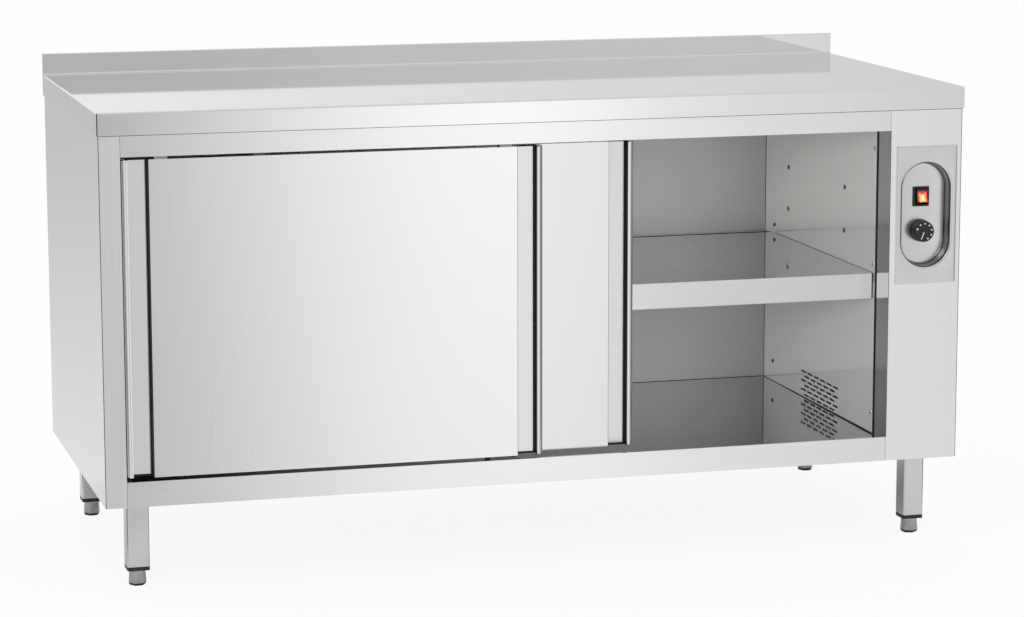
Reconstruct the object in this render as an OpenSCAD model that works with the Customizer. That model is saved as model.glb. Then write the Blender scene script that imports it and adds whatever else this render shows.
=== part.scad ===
// Heated plate cabinet: a steel worktop with an upstand, two hung sliding doors, one loose shelf,
// and a controls column at the right that also holds the blower and its heating element.
// Millimetres. X runs to the right, Y to the back, Z up. The front faces -Y.
// The origin is on the floor, under the middle of the worktop.

/* [Worktop] */
// Width of the worktop, end to end
worktop_w = 1600; // [1400:10:1800]
// Depth of the worktop, front to back
worktop_d = 700; // [680:5:760]
// Height of the working surface above the floor
worktop_h = 850; // [830:5:900]
// Height of the worktop's folded edge
edge_h = 40; // [34:1:50]
// Height of the upstand above the working surface
upstand_h = 40; // [25:1:100]
// Thickness of the folded upstand
upstand_t = 10; // [8:1:20]
// Outer radius of the worktop's bends
bend_r = 3; // [2:0.5:4]
// Width of the flange turned in under the folded edge
edge_flange = 15; // [10:1:25]
// Thickness of the board bonded under the worktop sheet
board_t = 16; // [10:1:19]
// Width of each brace under the board, and of the stiffener under the shelf
brace_w = 60; // [40:5:80]

/* [Cabinet] */
// Overhang of the worktop past each side panel
side_overhang = 2; // [1:0.5:5]
// Overhang of the worktop past the front frame
front_overhang = 4; // [4:0.5:8]
// Overhang of the worktop past the back panel
rear_overhang = 5; // [1:0.5:10]
// Height of the cabinet's underside above the floor
underside_h = 155; // [135:5:175]
// Thickness of the outer sheet steel
sheet = 1.2; // [1:0.1:2]
// Thickness of the lining and door sheet
lining = 0.8; // [0.8:0.1:1.4]
// Width of the left front post
post_w = 38; // [34:1:50]
// Height of the rail over the doors
header_h = 38; // [37:1:45]
// Height of the sill rail under the doors
sill_h = 45; // [43:1:55]
// Width of the controls column at the right
column_w = 140; // [136:2:180]
// Depth of the jambs beside the door zone
jamb_d = 57; // [57:1:64]
// Open joint between a jamb and the lining behind it
lining_gap = 11; // [5:1:14]
// Width of the lap flanges inside the corners
lap_w = 24; // [15:1:26]
// Visible joint between the front frame's pieces
seam = 0.5; // [0.2:0.1:0.8]
// Space between the inner and outer back walls
back_cavity = 22; // [18:1:40]
// Depth of the inner floor below the top of the sill
floor_drop = 8; // [4:1:10]
// Space between the worktop's edge and the ceiling lining
ceiling_cavity = 30; // [24:1:36]
// Width of the channels that carry the floor and the legs
rail_w = 44; // [44:1:52]

/* [Screws] */
// Diameter of the panel screws
screw_d = 4; // [3:0.5:4]
// Distance of the front wall screws from the side wall's front edge
liner_screw_front = 9; // [8:1:30]
// Distance of the rear wall screws from the back wall
liner_screw_rear = 54; // [20:1:80]
// Height of the low wall screws above the inner floor
liner_screw_low = 41; // [20:1:60]
// Height of the middle wall screws above the lowest supports
liner_screw_mid = 40; // [34:1:60]
// Distance of the high wall screws below the ceiling
liner_screw_high = 49; // [20:1:80]

/* [Doors] */
// Overlap of the two doors when both are closed
door_overlap = 102; // [100:2:140]
// Thickness of a door
door_t = 20; // [20:0.5:22]
// Distance from the front door's face to the rear door's face
door_pitch = 26; // [25:0.5:27]
// Distance of the front door's face behind the front frame
door_setback = 8; // [6:0.5:9]
// Gap between a door and the jamb it stops at
door_side_gap = 0.5; // [0.3:0.1:2]
// Gap over the doors
door_top_gap = 6; // [4:0.5:8]
// Gap under the doors
door_bottom_gap = 5; // [4:0.5:8]
// Distance of the rear door from its left stop, as drawn
rear_door_shift = 178; // [0:1:400]
// Width of the rounded grip bar at each door edge
grip_w = 12; // [10:1:16]
// Width of the finger channel beside each grip bar
channel_w = 38; // [30:1:45]
// Depth of the steel strip inside the finger channel
strip_depth = 16; // [12:0.5:16]
// Dark joint at each side of that strip
strip_gap = 3.5; // [2:0.5:5]
// Wall thickness of the plastic channel profile
channel_wall = 1.2; // [1:0.1:2]
// Width of the groove that runs on the bottom guide
groove_w = 5; // [4:0.5:6]
// Depth of that groove
groove_d = 12; // [8:1:16]

/* [Door running gear] */
// Distance of each hanger from its door's edge
hanger_inset = 71; // [60:1:110]
// Width of a hanger
hanger_w = 23; // [18:1:30]
// Thickness of the hanger and track sheet
track_t = 2; // [1.5:0.1:2.2]
// Radius of a roller
roller_r = 11; // [9:0.5:11]
// Thickness of a roller
roller_t = 8; // [6:0.5:9]
// Radius of a roller's axle
axle_r = 3; // [2:0.5:4]
// Height of the roller's axle above the door
roller_rise = 24; // [21:0.5:26]
// Length of the bottom guide
guide_w = 48; // [30:1:60]
// Distance of the bottom guide to the left of the opening's middle
guide_shift = 25; // [0:1:26]
// Thickness of the guide's fins
fin_t = 3; // [2:0.5:3.5]

/* [Shelf] */
// Height of the lowest support level above the inner floor
peg_first = 281; // [150:1:300]
// Distance between support levels
peg_pitch = 83; // [60:1:100]
// Number of support levels
peg_levels = 3; // [1:1:3]
// Distance of the front supports from the shelf's front edge
peg_front_inset = 158; // [80:1:220]
// Distance of the rear supports from the shelf's rear edge
peg_rear_inset = 91; // [60:1:200]
// Diameter of a shelf peg
peg_d = 8; // [6:0.5:10]
// Length of a shelf peg inside the chamber
peg_l = 12; // [10:1:20]
// Diameter of the peg's threaded end
peg_thread_d = 4; // [3:0.5:5]
// Diameter of the threaded insert in the wall
insert_d = 7; // [6.5:0.5:9]
// Depth of the insert behind the wall's face
insert_l = 8; // [5:0.5:8]
// Thickness of the insert's rim
insert_rim = 1; // [0.6:0.1:1.5]
// Open gap behind the shelf, for the air to rise
shelf_rear_gap = 42; // [20:1:90]
// Height of the shelf's front edge
fascia_h = 47; // [30:1:60]
// Height of the shelf's other folded edges
shelf_flange = 20; // [12:1:28]
// Gap between the shelf and the side walls
shelf_side_gap = 3; // [2:0.5:5]
// Diameter of the air holes in the shelf
air_hole_d = 6; // [4:0.5:10]
// Distance between air holes along a row
air_hole_pitch = 60; // [40:5:120]
// Distance between the two rows of a band
air_row_pitch = 52; // [20:1:70]
// Distance of the front band from the shelf's front edge
air_front = 121; // [30:1:140]
// Distance of the rear band from the shelf's rear edge
air_rear = 46; // [30:1:100]

/* [Controls] */
// Width of the control plate
plate_w = 120; // [112:1:124]
// Height of the control plate
plate_h = 257; // [240:1:300]
// Distance of the control plate's middle below the working surface
plate_drop = 235.5; // [210:0.5:290]
// Distance of the controls to the right of the column's middle
control_shift = 1.5; // [0:0.5:3]
// Width of the pill-shaped recess
pill_w = 94; // [88:1:98]
// Height of the recess
pill_h = 193; // [180:1:210]
// Depth of the recess
pill_d = 26; // [24:0.5:30]
// Distance between the plate's screws
plate_screw_pitch = 235; // [216:1:240]
// Width of the switch's bezel
bezel_w = 32; // [30:0.5:36]
// Height of the switch's bezel
bezel_h = 37; // [35:0.5:40]
// Width of the rocker
rocker_w = 22; // [18:0.5:23]
// Height of the rocker
rocker_h = 25; // [20:0.5:26]
// Tilt of the rocker to each side of its middle
rocker_tilt = 10; // [6:1:12]
// Height of the switch above the plate's middle
switch_rise = 29; // [26:0.5:40]
// Drop of the knob below the plate's middle
knob_drop = 32.5; // [28:0.5:45]
// Diameter of the knob
knob_d = 41; // [36:0.5:46]
// Height of the knob
knob_h = 21; // [16:0.5:22]

/* [Blower and heater] */
// Thickness of the blower's casing
casing_t = 1.2; // [1:0.1:1.5]
// Height of the casing's inside above the inner floor
casing_rise = 4; // [2:0.5:10]
// Distance of the wheel's axle from the side wall
wheel_reach = 65; // [60:1:66]
// Radius of the wheel's shaft
wheel_shaft_r = 4; // [3:0.5:5]
// Width of a wheel blade
blade_w = 7; // [5:0.5:9]
// Length of the blower motor
motor_l = 40; // [30:1:60]
// Distance of the heating element from the side wall
element_reach = 13; // [10:1:16]
// Height of the element's lower leg above the inner floor
element_rise = 20; // [16:1:24]
// Distance between the element's two legs
element_pitch = 20; // [16:1:24]
// Radius of the cross-flow wheel
wheel_r = 28; // [24:0.5:28]
// Number of blades on the wheel
blades = 20; // [12:1:24]
// Running gap between the wheel and its casing
wheel_gap = 6; // [4:0.5:8]
// Length of one air slot in the side wall
slot_l = 29; // [20:1:32]
// Height of an air slot
slot_h = 4; // [3:0.5:6]
// Distance between slots along a row
slot_pitch = 35; // [34:1:45]
// Distance between rows of slots
slot_row = 9.2; // [8:0.2:12]
// Number of slots in a full row
slot_cols = 6; // [4:1:6]
// Number of rows of slots
slot_rows = 6; // [3:1:6]
// Middle of the slots, measured back from the middle of the worktop
slot_mid = 4; // [-40:1:40]
// Radius of the tubular heating element
element_r = 3.25; // [3:0.05:4]

/* [Legs] */
// Distance of each leg's middle from the end of the worktop
leg_inset_x = 65; // [60:1:100]
// Distance of each leg's middle from the front and back of the worktop
leg_inset_y = 70; // [60:1:100]
// Width of the square leg tube
leg_w = 40; // [36:1:40]
// Outer corner radius of the leg tube
leg_r = 4; // [3:0.5:6]
// Height of the plastic plug's collar
plug_h = 7; // [5:0.5:10]
// Diameter of a foot
foot_d = 32; // [26:0.5:36]
// Height of a foot when it is screwed right in
foot_h = 28.7; // [24:0.1:40]
// Radius of the foot's threaded stem
stem_r = 5; // [4:0.5:6]
// Length of the stem inside the plug
stem_l = 30; // [24:1:40]

/* [Hidden] */

$fn = 48;
eps = 0.5;             // how far a cutter reaches past the face it cuts
run_gap = 0.3;         // between pieces that move past each other
pin_gap = 0.05;        // radial gap of a pin or shaft in its bore
hole_gap = 0.15;       // radial gap of a screw in its hole

// Cabinet box
body_x = worktop_w / 2 - side_overhang;
body_front = -worktop_d / 2 + front_overhang;
body_rear = worktop_d / 2 - rear_overhang;
body_top = worktop_h - edge_h;
upstand_y = worktop_d / 2 - upstand_t;
inside_x = body_x - sheet;
inside_rear = body_rear - sheet;
face_rear = body_front + sheet;

// Door opening
open_left = -body_x + post_w;
open_right = body_x - column_w;
open_bottom = underside_h + sill_h;
open_top = body_top - header_h;
jamb_rear = body_front + jamb_d;

// Lining
liner_front = jamb_rear + lining_gap;
liner_rear = body_rear - back_cavity;
floor_z = open_bottom - floor_drop;
ceiling_z = body_top - ceiling_cavity;
liner_foot = floor_z - 20;
rail_base = underside_h + sheet;
rail_top = floor_z - lining;
rail_t = 2;

// Doors
door_w = (open_right - open_left + door_overlap) / 2;
door_x = open_left + door_side_gap;
door_y = body_front + door_setback;
door_z = open_bottom + door_bottom_gap;
door_h = open_top - door_top_gap - door_z;
grip_edge = grip_w + channel_w;
groove_y = door_t / 2 - groove_w / 2 - 1;
roller_z = door_z + door_h + roller_rise;
roller_y = track_t + 0.8;
ledge_top = roller_z - roller_r - run_gap;
ledge_y = track_t + 1.5;
track_web_y = door_t - track_t;
track_top = body_top - sheet;
rear_door_x = door_x + rear_door_shift;

// Shelf and its supports
peg_r = peg_d / 2;
insert_r = insert_d / 2;
peg_thread_r = peg_thread_d / 2;
peg_z = floor_z + peg_first;
shelf_y = liner_front + 2;
shelf_rear = liner_rear - shelf_rear_gap;
peg_front = shelf_y + peg_front_inset;
peg_rear = shelf_rear - peg_rear_inset;
shelf_x0 = open_left + shelf_side_gap;
shelf_x1 = open_right - shelf_side_gap;
shelf_base = peg_z + peg_r + run_gap;
shelf_top = shelf_base + shelf_flange;

// Screws
screw_r = screw_d / 2;
screw_head_r = screw_d;
screw_head_h = 0.55 * screw_d;
screw_l = 2 * screw_d;
liner_screw_ys = [liner_front + liner_screw_front, liner_rear - liner_screw_rear];
liner_screw_zs = [floor_z + liner_screw_low, peg_z + liner_screw_mid, ceiling_z - liner_screw_high];

// Controls
plate_z = worktop_h - plate_drop;
control_x = body_x - column_w / 2 + control_shift;
plate_y = body_front - sheet;
pill_floor_y = body_front + pill_d;
pill_back_y = pill_floor_y + sheet;
switch_z = plate_z + switch_rise;
knob_z = plate_z - knob_drop;
bezel_t = 3;
switch_body_d = 28;
switch_wall = 2;
switch_w = bezel_w - 2 * switch_wall;
switch_h = bezel_h - 2 * switch_wall;
rocker_pin_r = 1.5;
rocker_pin_x = rocker_w / 2 + rocker_pin_r;
rocker_pivot_y = pill_floor_y + 4;
rocker_front = 15;
rocker_dish = 3;
rocker_back = 6;
shaft_r = 3;
knob_cap = 5;
thermostat_w = 44;
thermostat_d = 28;

// Blower
slot_low = floor_z + 6;
slots_w = (slot_cols - 1) * slot_pitch + slot_l;
vent_top = slot_low + (slot_rows - 1) * slot_row + slot_h / 2;
casing_r = wheel_r + wheel_gap;
liner_outside = open_right + lining;
wheel_x = liner_outside + wheel_reach;
wheel_z = floor_z + casing_rise + casing_r;
casing_y0 = slot_mid - slots_w / 2 - 4;
casing_y1 = slot_mid + slots_w / 2 + 4;
element_x = liner_outside + element_reach;
element_low = floor_z + element_rise;
element_high = element_low + element_pitch;
element_end = casing_y1 + 12;

// Wiring and its connections
block_x0 = liner_outside + 6;
block_x1 = block_x0 + 80;
block_z0 = floor_z + 13;
block_z1 = block_z0 + 60;
block_t = 18;
block_y = inside_rear - block_t;
gland_x = liner_outside + 26;
gland_y = inside_rear - 44;
gland_r = 10;
gland_bore_r = 4;
gland_drop = 22;
wire_r = 3;

// Legs
leg_x = worktop_w / 2 - leg_inset_x;
leg_y = worktop_d / 2 - leg_inset_y;
leg_t = 1.5;
leg_bottom = foot_h + run_gap + plug_h;
leg_top = rail_top - rail_t;
pad_h = 4.5;
CORNERS = [[-1, -1], [1, -1], [-1, 1], [1, 1]];

// ---------- Shared shapes ----------

// Points along an arc
function arc(c, r, a0, a1, n = 6) =
    [for (i = [0:n]) let (a = a0 + (a1 - a0) * i / n) c + r * [cos(a), sin(a)]];

// Outline of a rectangle with round corners, centred
function round_rect(w, h, r) = concat(
    arc([w / 2 - r, h / 2 - r], r, 0, 90),
    arc([-w / 2 + r, h / 2 - r], r, 90, 180),
    arc([-w / 2 + r, -h / 2 + r], r, 180, 270),
    arc([w / 2 - r, -h / 2 + r], r, 270, 360));

// Box between two corners
module block(lo, hi) {
    translate(lo) cube(hi - lo);
}

// A (Y, Z) outline drawn out along X
module along_x(x0, x1) {
    translate([x0, 0, 0]) rotate([90, 0, 90]) linear_extrude(height = x1 - x0) children();
}

// An (X, Z) outline drawn out along Y
module along_y(y0, y1) {
    translate([0, y1, 0]) rotate([90, 0, 0]) linear_extrude(height = y1 - y0) children();
}

// An (X, Y) outline drawn out along Z
module along_z(z0, z1) {
    translate([0, 0, z0]) linear_extrude(height = z1 - z0) children();
}

// Round bars along each axis
module rod_x(x0, x1, y, z, r) {
    translate([x0, y, z]) rotate([0, 90, 0]) cylinder(h = x1 - x0, r = r);
}
module rod_y(y0, y1, x, z, r) {
    translate([x, y1, z]) rotate([90, 0, 0]) cylinder(h = y1 - y0, r = r);
}
module rod_z(z0, z1, x, y, r) {
    translate([x, y, z0]) cylinder(h = z1 - z0, r = r);
}

// Upright pill outline, centred, made of a bar and two round ends
module pill(w, h) {
    square([w, h - w], center = true);
    for (s = [-1, 1]) translate([0, s * (h - w) / 2]) circle(d = w, $fn = 96);
}

// Square tube or plug outline with round corners
module tube_outline(w, r) {
    polygon(round_rect(w, w, r));
}

// Channel along Y, open below
module floor_channel(x) {
    difference() {
        block([x - rail_w / 2, face_rear + lap_w, rail_base], [x + rail_w / 2, inside_rear, rail_top]);
        block([x - rail_w / 2 + rail_t, face_rear + lap_w - eps, rail_base - eps],
              [x + rail_w / 2 - rail_t, inside_rear + eps, rail_top - rail_t]);
    }
}

// ---------- Worktop ----------

// Section of the worktop: front edge, surface, bend into the upstand, upstand
function worktop_section() = concat(
    [[-worktop_d / 2, body_top]],
    arc([-worktop_d / 2 + bend_r, worktop_h - bend_r], bend_r, 180, 90),
    arc([upstand_y - bend_r, worktop_h + bend_r], bend_r, 270, 360),
    arc([upstand_y + bend_r / 2, worktop_h + upstand_h - bend_r / 2], bend_r / 2, 180, 90),
    arc([worktop_d / 2 - bend_r / 2, worktop_h + upstand_h - bend_r / 2], bend_r / 2, 90, 0),
    [[worktop_d / 2, body_top]]);

// Rounds off the worktop's end bend at one side
module end_bend_cutter(side) {
    mirror([side < 0 ? 1 : 0, 0, 0])
        along_y(-worktop_d / 2 - eps, upstand_y)
            translate([worktop_w / 2 - bend_r, worktop_h - bend_r])
                difference() {
                    square(bend_r + eps);
                    circle(r = bend_r);
                }
}

module worktop() {
    inner_x = worktop_w / 2 - sheet;
    inner_y = worktop_d / 2 - sheet;
    color("gainsboro") difference() {
        along_x(-worktop_w / 2, worktop_w / 2) polygon(worktop_section());
        for (side = [-1, 1]) end_bend_cutter(side);
        block([-inner_x, -inner_y, body_top + sheet], [inner_x, inner_y, worktop_h - sheet]);
        block([-inner_x, upstand_y + sheet, worktop_h - sheet - eps],
              [inner_x, inner_y, worktop_h + upstand_h - sheet]);
        block([-inner_x + edge_flange, -inner_y + edge_flange, body_top - eps],
              [inner_x - edge_flange, inner_y - edge_flange, worktop_h - sheet]);
    }
}

module worktop_board() {
    board_x = worktop_w / 2 - sheet - run_gap;
    board_y = worktop_d / 2 - sheet - run_gap;
    color("burlywood")
        block([-board_x, -board_y, worktop_h - sheet - board_t], [board_x, board_y, worktop_h - sheet]);
}

module worktop_braces() {
    brace_y = worktop_d / 2 - sheet - edge_flange;
    brace_z = body_top + sheet;
    brace_top = worktop_h - sheet - board_t;
    color("silver") for (i = [-1, 0, 1]) translate([i * worktop_w / 3, 0, 0]) difference() {
        block([-brace_w / 2, -brace_y, brace_z], [brace_w / 2, brace_y, brace_top]);
        block([-brace_w / 2 + sheet, -brace_y - eps, brace_z + sheet],
              [brace_w / 2 - sheet, brace_y + eps, brace_top + eps]);
    }
}

// ---------- Front frame ----------

module left_post() {
    color("gainsboro") {
        block([-body_x, body_front, underside_h], [open_left, face_rear, body_top]);
        block([open_left - sheet, face_rear, rail_base], [open_left, jamb_rear, body_top]);
        block([-inside_x, face_rear, underside_h], [-inside_x + sheet, face_rear + lap_w, body_top]);
        block([-inside_x, face_rear, underside_h], [open_left, face_rear + lap_w, rail_base]);
    }
}

module right_column() {
    color("gainsboro") {
        difference() {
            block([open_right, body_front, underside_h], [body_x, face_rear, body_top]);
            along_y(body_front - eps, face_rear + eps)
                translate([control_x, plate_z]) pill(pill_w + 2 * sheet + 2, pill_h + 2 * sheet + 2);
            for (s = [-1, 1])
                rod_y(body_front - eps, face_rear + eps, control_x, plate_z + s * plate_screw_pitch / 2,
                      screw_r + hole_gap);
        }
        block([open_right, face_rear, rail_base], [open_right + sheet, jamb_rear, body_top]);
        block([inside_x - sheet, face_rear, underside_h], [inside_x, face_rear + lap_w, body_top]);
        block([open_right, face_rear, underside_h], [inside_x, face_rear + lap_w, rail_base]);
    }
}

module header_rail() {
    lip = 4;
    color("gainsboro") along_x(open_left + seam, open_right - seam) {
        translate([body_front, open_top]) square([sheet, header_h]);
        translate([body_front, open_top]) square([sheet + lip, sheet]);
        translate([body_front, body_top - sheet]) square([jamb_d, sheet]);
    }
}

module sill_rail() {
    lip = 4;
    color("gainsboro") along_x(open_left + seam, open_right - seam) {
        translate([body_front, underside_h]) square([sheet, sill_h]);
        translate([body_front, open_bottom - sheet]) square([sheet + lip, sheet]);
        translate([body_front, underside_h]) square([sheet + lap_w, sheet]);
    }
}

// ---------- Outer panels and base ----------

module side_panel(side) {
    mirror([side < 0 ? 1 : 0, 0, 0])
        block([inside_x, face_rear, underside_h], [body_x, body_rear, body_top]);
}

module left_side_panel() {
    color("lightgray") side_panel(-1);
}

module right_side_panel() {
    color("lightgray") side_panel(1);
}

module back_panel() {
    color("lightgray") block([-inside_x, inside_rear, underside_h], [inside_x, body_rear, body_top]);
}

module base_panel() {
    color("silver") difference() {
        block([-inside_x, face_rear + lap_w, underside_h], [inside_x, inside_rear, underside_h + sheet]);
        for (c = CORNERS) translate([c[0] * leg_x, c[1] * leg_y, 0])
            along_z(underside_h - eps, underside_h + sheet + eps) tube_outline(leg_w, leg_r);
        rod_z(underside_h - eps, underside_h + sheet + eps, gland_x, gland_y, gland_r + hole_gap);
    }
}

module base_rails() {
    color("silver") {
        for (x = [-leg_x, leg_x]) floor_channel(x);
        floor_channel((open_left + open_right) / 2);
        floor_channel(open_right - rail_w / 2);
    }
}

// ---------- Lining ----------

module floor_pan() {
    color("darkgray") block([open_left, face_rear, rail_top], [open_right, liner_rear + lining, floor_z]);
}

// Holes of one side wall, along X through its sheet
module side_wall_holes(x) {
    for (y = [peg_front, peg_rear], k = [0:peg_levels - 1])
        rod_x(x - eps, x + lining + eps, y, peg_z + k * peg_pitch, insert_r + hole_gap);
    for (y = liner_screw_ys, z = liner_screw_zs)
        rod_x(x - eps, x + lining + eps, y, z, screw_r + hole_gap);
}

// Staggered rows of air slots through the right side wall
module air_slots(x) {
    for (row = [0:slot_rows - 1]) {
        full = (slot_rows - 1 - row) % 2 == 0;
        count = full ? slot_cols : slot_cols - 1;
        for (i = [0:count - 1])
            translate([x, slot_mid + (i - (count - 1) / 2) * slot_pitch, slot_low + row * slot_row])
                cube([3 * lining + 2 * eps, slot_l, slot_h], center = true);
    }
}

module left_liner() {
    color("darkgray") difference() {
        union() {
            block([open_left - lining, liner_front, liner_foot],
                [open_left, liner_rear + lining, ceiling_z]);
            block([open_left - lining - 12, liner_front, liner_foot],
                  [open_left - lining, liner_front + lining, ceiling_z]);
        }
        side_wall_holes(open_left - lining);
    }
}

module right_liner() {
    color("darkgray") difference() {
        union() {
            block([open_right, liner_front, liner_foot], [liner_outside, liner_rear + lining, ceiling_z]);
            block([liner_outside, liner_front, liner_foot],
                  [liner_outside + 12, liner_front + lining, ceiling_z]);
        }
        side_wall_holes(open_right);
        air_slots(open_right + lining / 2);
    }
}

module back_liner() {
    color("dimgray") block([open_left, liner_rear, floor_z], [open_right, liner_rear + lining, ceiling_z]);
}

module ceiling_liner() {
    color("dimgray")
        block([open_left - lining, liner_front, ceiling_z],
              [liner_outside, liner_rear + lining, ceiling_z + lining]);
}

module insulation() {
    fit = 0.5;
    floor_mid = (open_left + open_right) / 2;
    left_skin = insert_l + lining + 2;
    color("khaki") {
        block([-inside_x + fit, liner_front + 4, rail_top + fit],
              [open_left - left_skin, liner_rear + lining, ceiling_z]);
        block([open_left, liner_rear + lining + fit, rail_top + fit],
              [open_right, inside_rear - fit, ceiling_z]);
        block([open_left, liner_front + 4, ceiling_z + lining + fit],
              [open_right, liner_rear, body_top - fit]);
        block([-leg_x + rail_w / 2 + fit, face_rear + lap_w + fit, rail_base + fit],
              [floor_mid - rail_w / 2 - fit, liner_rear, rail_top - fit]);
        block([floor_mid + rail_w / 2 + fit, face_rear + lap_w + fit, rail_base + fit],
              [open_right - rail_w - fit, liner_rear, rail_top - fit]);
    }
}

// ---------- Shelf and its supports ----------

module air_hole(x, y) {
    rod_z(shelf_top - lining - eps, shelf_top + eps, x, y, air_hole_d / 2);
}

module shelf() {
    count = floor((shelf_x1 - shelf_x0) / air_hole_pitch) - 1;
    row_x = (shelf_x0 + shelf_x1 - (count - 1) * air_hole_pitch) / 2;
    front_y = shelf_y + air_front;
    rear_y = shelf_rear - air_rear - air_row_pitch;
    color("lightgray") difference() {
        union() {
            block([shelf_x0, shelf_y, shelf_top - lining], [shelf_x1, shelf_rear, shelf_top]);
            block([shelf_x0, shelf_y, shelf_top - fascia_h], [shelf_x1, shelf_y + lining, shelf_top]);
            block([shelf_x0, shelf_rear - lining, shelf_base], [shelf_x1, shelf_rear, shelf_top]);
            for (x = [shelf_x0, shelf_x1 - lining])
                block([x, shelf_y, shelf_base], [x + lining, shelf_rear, shelf_top]);
            block([shelf_x0, shelf_y, shelf_top - fascia_h],
                  [shelf_x1, shelf_y + edge_flange, shelf_top - fascia_h + lining]);
        }
        for (row = [0, 1], i = [0:count - 1]) {
            air_hole(row_x + (i + 0.5) * air_hole_pitch, front_y + row * air_row_pitch);
            air_hole(row_x + i * air_hole_pitch, rear_y + row * air_row_pitch);
        }
    }
}

module shelf_stiffener() {
    y0 = (shelf_y + shelf_rear - brace_w) / 2;
    y1 = y0 + brace_w;
    color("silver") difference() {
        block([shelf_x0 + lining, y0, shelf_base], [shelf_x1 - lining, y1, shelf_top - lining]);
        block([shelf_x0, y0 + lining, shelf_base + lining], [shelf_x1, y1 - lining, shelf_top]);
    }
}

// Stations of the supports: side wall face, direction into the chamber, depth, height
function support_points(levels) =
    [for (y = [peg_front, peg_rear], k = levels) [y, peg_z + k * peg_pitch]];

module shelf_pegs() {
    color("silver") for (p = support_points([0])) {
        rod_x(open_left + insert_rim, open_left + peg_l, p[0], p[1], peg_r);
        rod_x(open_left - insert_l, open_left + insert_rim + eps, p[0], p[1], peg_thread_r);
        rod_x(open_right - peg_l, open_right - insert_rim, p[0], p[1], peg_r);
        rod_x(open_right - insert_rim - eps, open_right + insert_l, p[0], p[1], peg_thread_r);
    }
}

// Threaded insert with its rim inside the chamber; side is the way out of the chamber
module insert_nut(wall_x, side, y, z) {
    translate([wall_x, y, z]) rotate([0, side * 90, 0]) difference() {
        union() {
            cylinder(h = insert_l, r = insert_r);
            translate([0, 0, -insert_rim]) cylinder(h = insert_rim, r = insert_r + 1);
        }
        translate([0, 0, -insert_rim - eps])
            cylinder(h = insert_l + insert_rim + 2 * eps, r = peg_thread_r + pin_gap);
    }
}

module liner_inserts() {
    color("dimgray") for (p = support_points([0:peg_levels - 1])) {
        insert_nut(open_left, -1, p[0], p[1]);
        insert_nut(open_right, 1, p[0], p[1]);
    }
}

// Pan-head screw standing in Z: its head sits on z = 0 and its shank goes down
module pan_screw() {
    dome = 0.6 * screw_head_h;
    rotate_extrude() polygon(concat(
        [[0, -screw_l], [screw_r, -screw_l], [screw_r, 0], [screw_head_r, 0]],
        arc([screw_head_r - dome, screw_head_h - dome], dome, 0, 90),
        [[0, screw_head_h]]));
}

module panel_screws() {
    color("whitesmoke") {
        for (s = [-1, 1])
            translate([control_x, plate_y, plate_z + s * plate_screw_pitch / 2])
                rotate([90, 0, 0]) pan_screw();
        for (y = liner_screw_ys, z = liner_screw_zs) {
            translate([open_left, y, z]) rotate([0, 90, 0]) pan_screw();
            translate([open_right, y, z]) rotate([0, -90, 0]) pan_screw();
        }
    }
}

// ---------- Door running gear ----------

// One hanging track: top flange, web, and the ledge that the rollers run on
module track(y) {
    color("silver") along_x(open_left + seam, open_right - seam) translate([y, 0]) {
        translate([ledge_y, ledge_top - track_t]) square([track_web_y + track_t - ledge_y, track_t]);
        translate([track_web_y, ledge_top - track_t]) square([track_t, track_top - ledge_top + track_t]);
        translate([track_web_y - 8, track_top - track_t]) square([8 + track_t, track_t]);
    }
}

module door_tracks() {
    track(door_y);
    track(door_y + door_pitch);
}

module bottom_guide() {
    mid = (open_left + open_right) / 2 - guide_shift;
    fin_y = groove_y + (groove_w - fin_t) / 2;
    fin_top = door_z + groove_d - 2;
    foot_top = door_z - 2;
    color("gray") {
        block([mid - guide_w / 2, door_y + 2, floor_z],
              [mid + guide_w / 2, door_y + door_pitch + door_t - 2, foot_top]);
        for (y = [door_y, door_y + door_pitch])
            block([mid - guide_w / 2 + 4, y + fin_y, foot_top - eps],
                  [mid + guide_w / 2 - 4, y + fin_y + fin_t, fin_top]);
    }
}

// ---------- Doors ----------
// A door is drawn from its lower left front corner: X to its right edge, Y through it, Z up.

// Groove along the door's bottom that the guide's fin runs in
module groove_cutter() {
    block([-eps, groove_y, -eps], [door_w + eps, groove_y + groove_w, groove_d]);
}

module door_skin() {
    difference() {
        block([grip_edge, 0, 0], [door_w - grip_edge, door_t - lining, door_h]);
        block([grip_edge + lining, lining, lining],
              [door_w - grip_edge - lining, door_t, door_h - lining]);
        groove_cutter();
    }
}

module door_back() {
    block([0, door_t - lining, 0], [door_w, door_t, door_h]);
}

// Outline of the grip bar, drawn in by a wall's thickness
function grip_outline(wall) = concat(
    [[wall, door_t - lining]],
    arc([grip_w / 2, grip_w / 2], grip_w / 2 - wall, 180, 360, 12),
    [[grip_w - wall, door_t - lining]]);

// Hollow grip bar with a rounded nose, its outer edge at x = 0
module grip_bar() {
    difference() {
        along_z(0, door_h) polygon(grip_outline(0));
        along_z(sheet, door_h - sheet) polygon(grip_outline(sheet));
        groove_cutter();
    }
}

// Plastic channel profile that lines the finger space
module grip_channel() {
    floor_y = strip_depth + lining;
    lead = 2;
    difference() {
        block([grip_w, lead, 0], [grip_edge, door_t - lining, door_h]);
        block([grip_w + channel_wall, lead - eps, -eps], [grip_edge - channel_wall, floor_y, door_h + eps]);
        groove_cutter();
    }
}

// Steel strip on the channel's floor
module grip_strip() {
    clear = 4;
    block([grip_w + strip_gap, strip_depth, clear],
          [grip_edge - strip_gap, strip_depth + lining, door_h - clear / 2]);
}

// Draws a piece at the door's left edge and again, mirrored, at its right edge
module both_edges() {
    children();
    translate([door_w, 0, 0]) mirror([1, 0, 0]) children();
}

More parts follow.
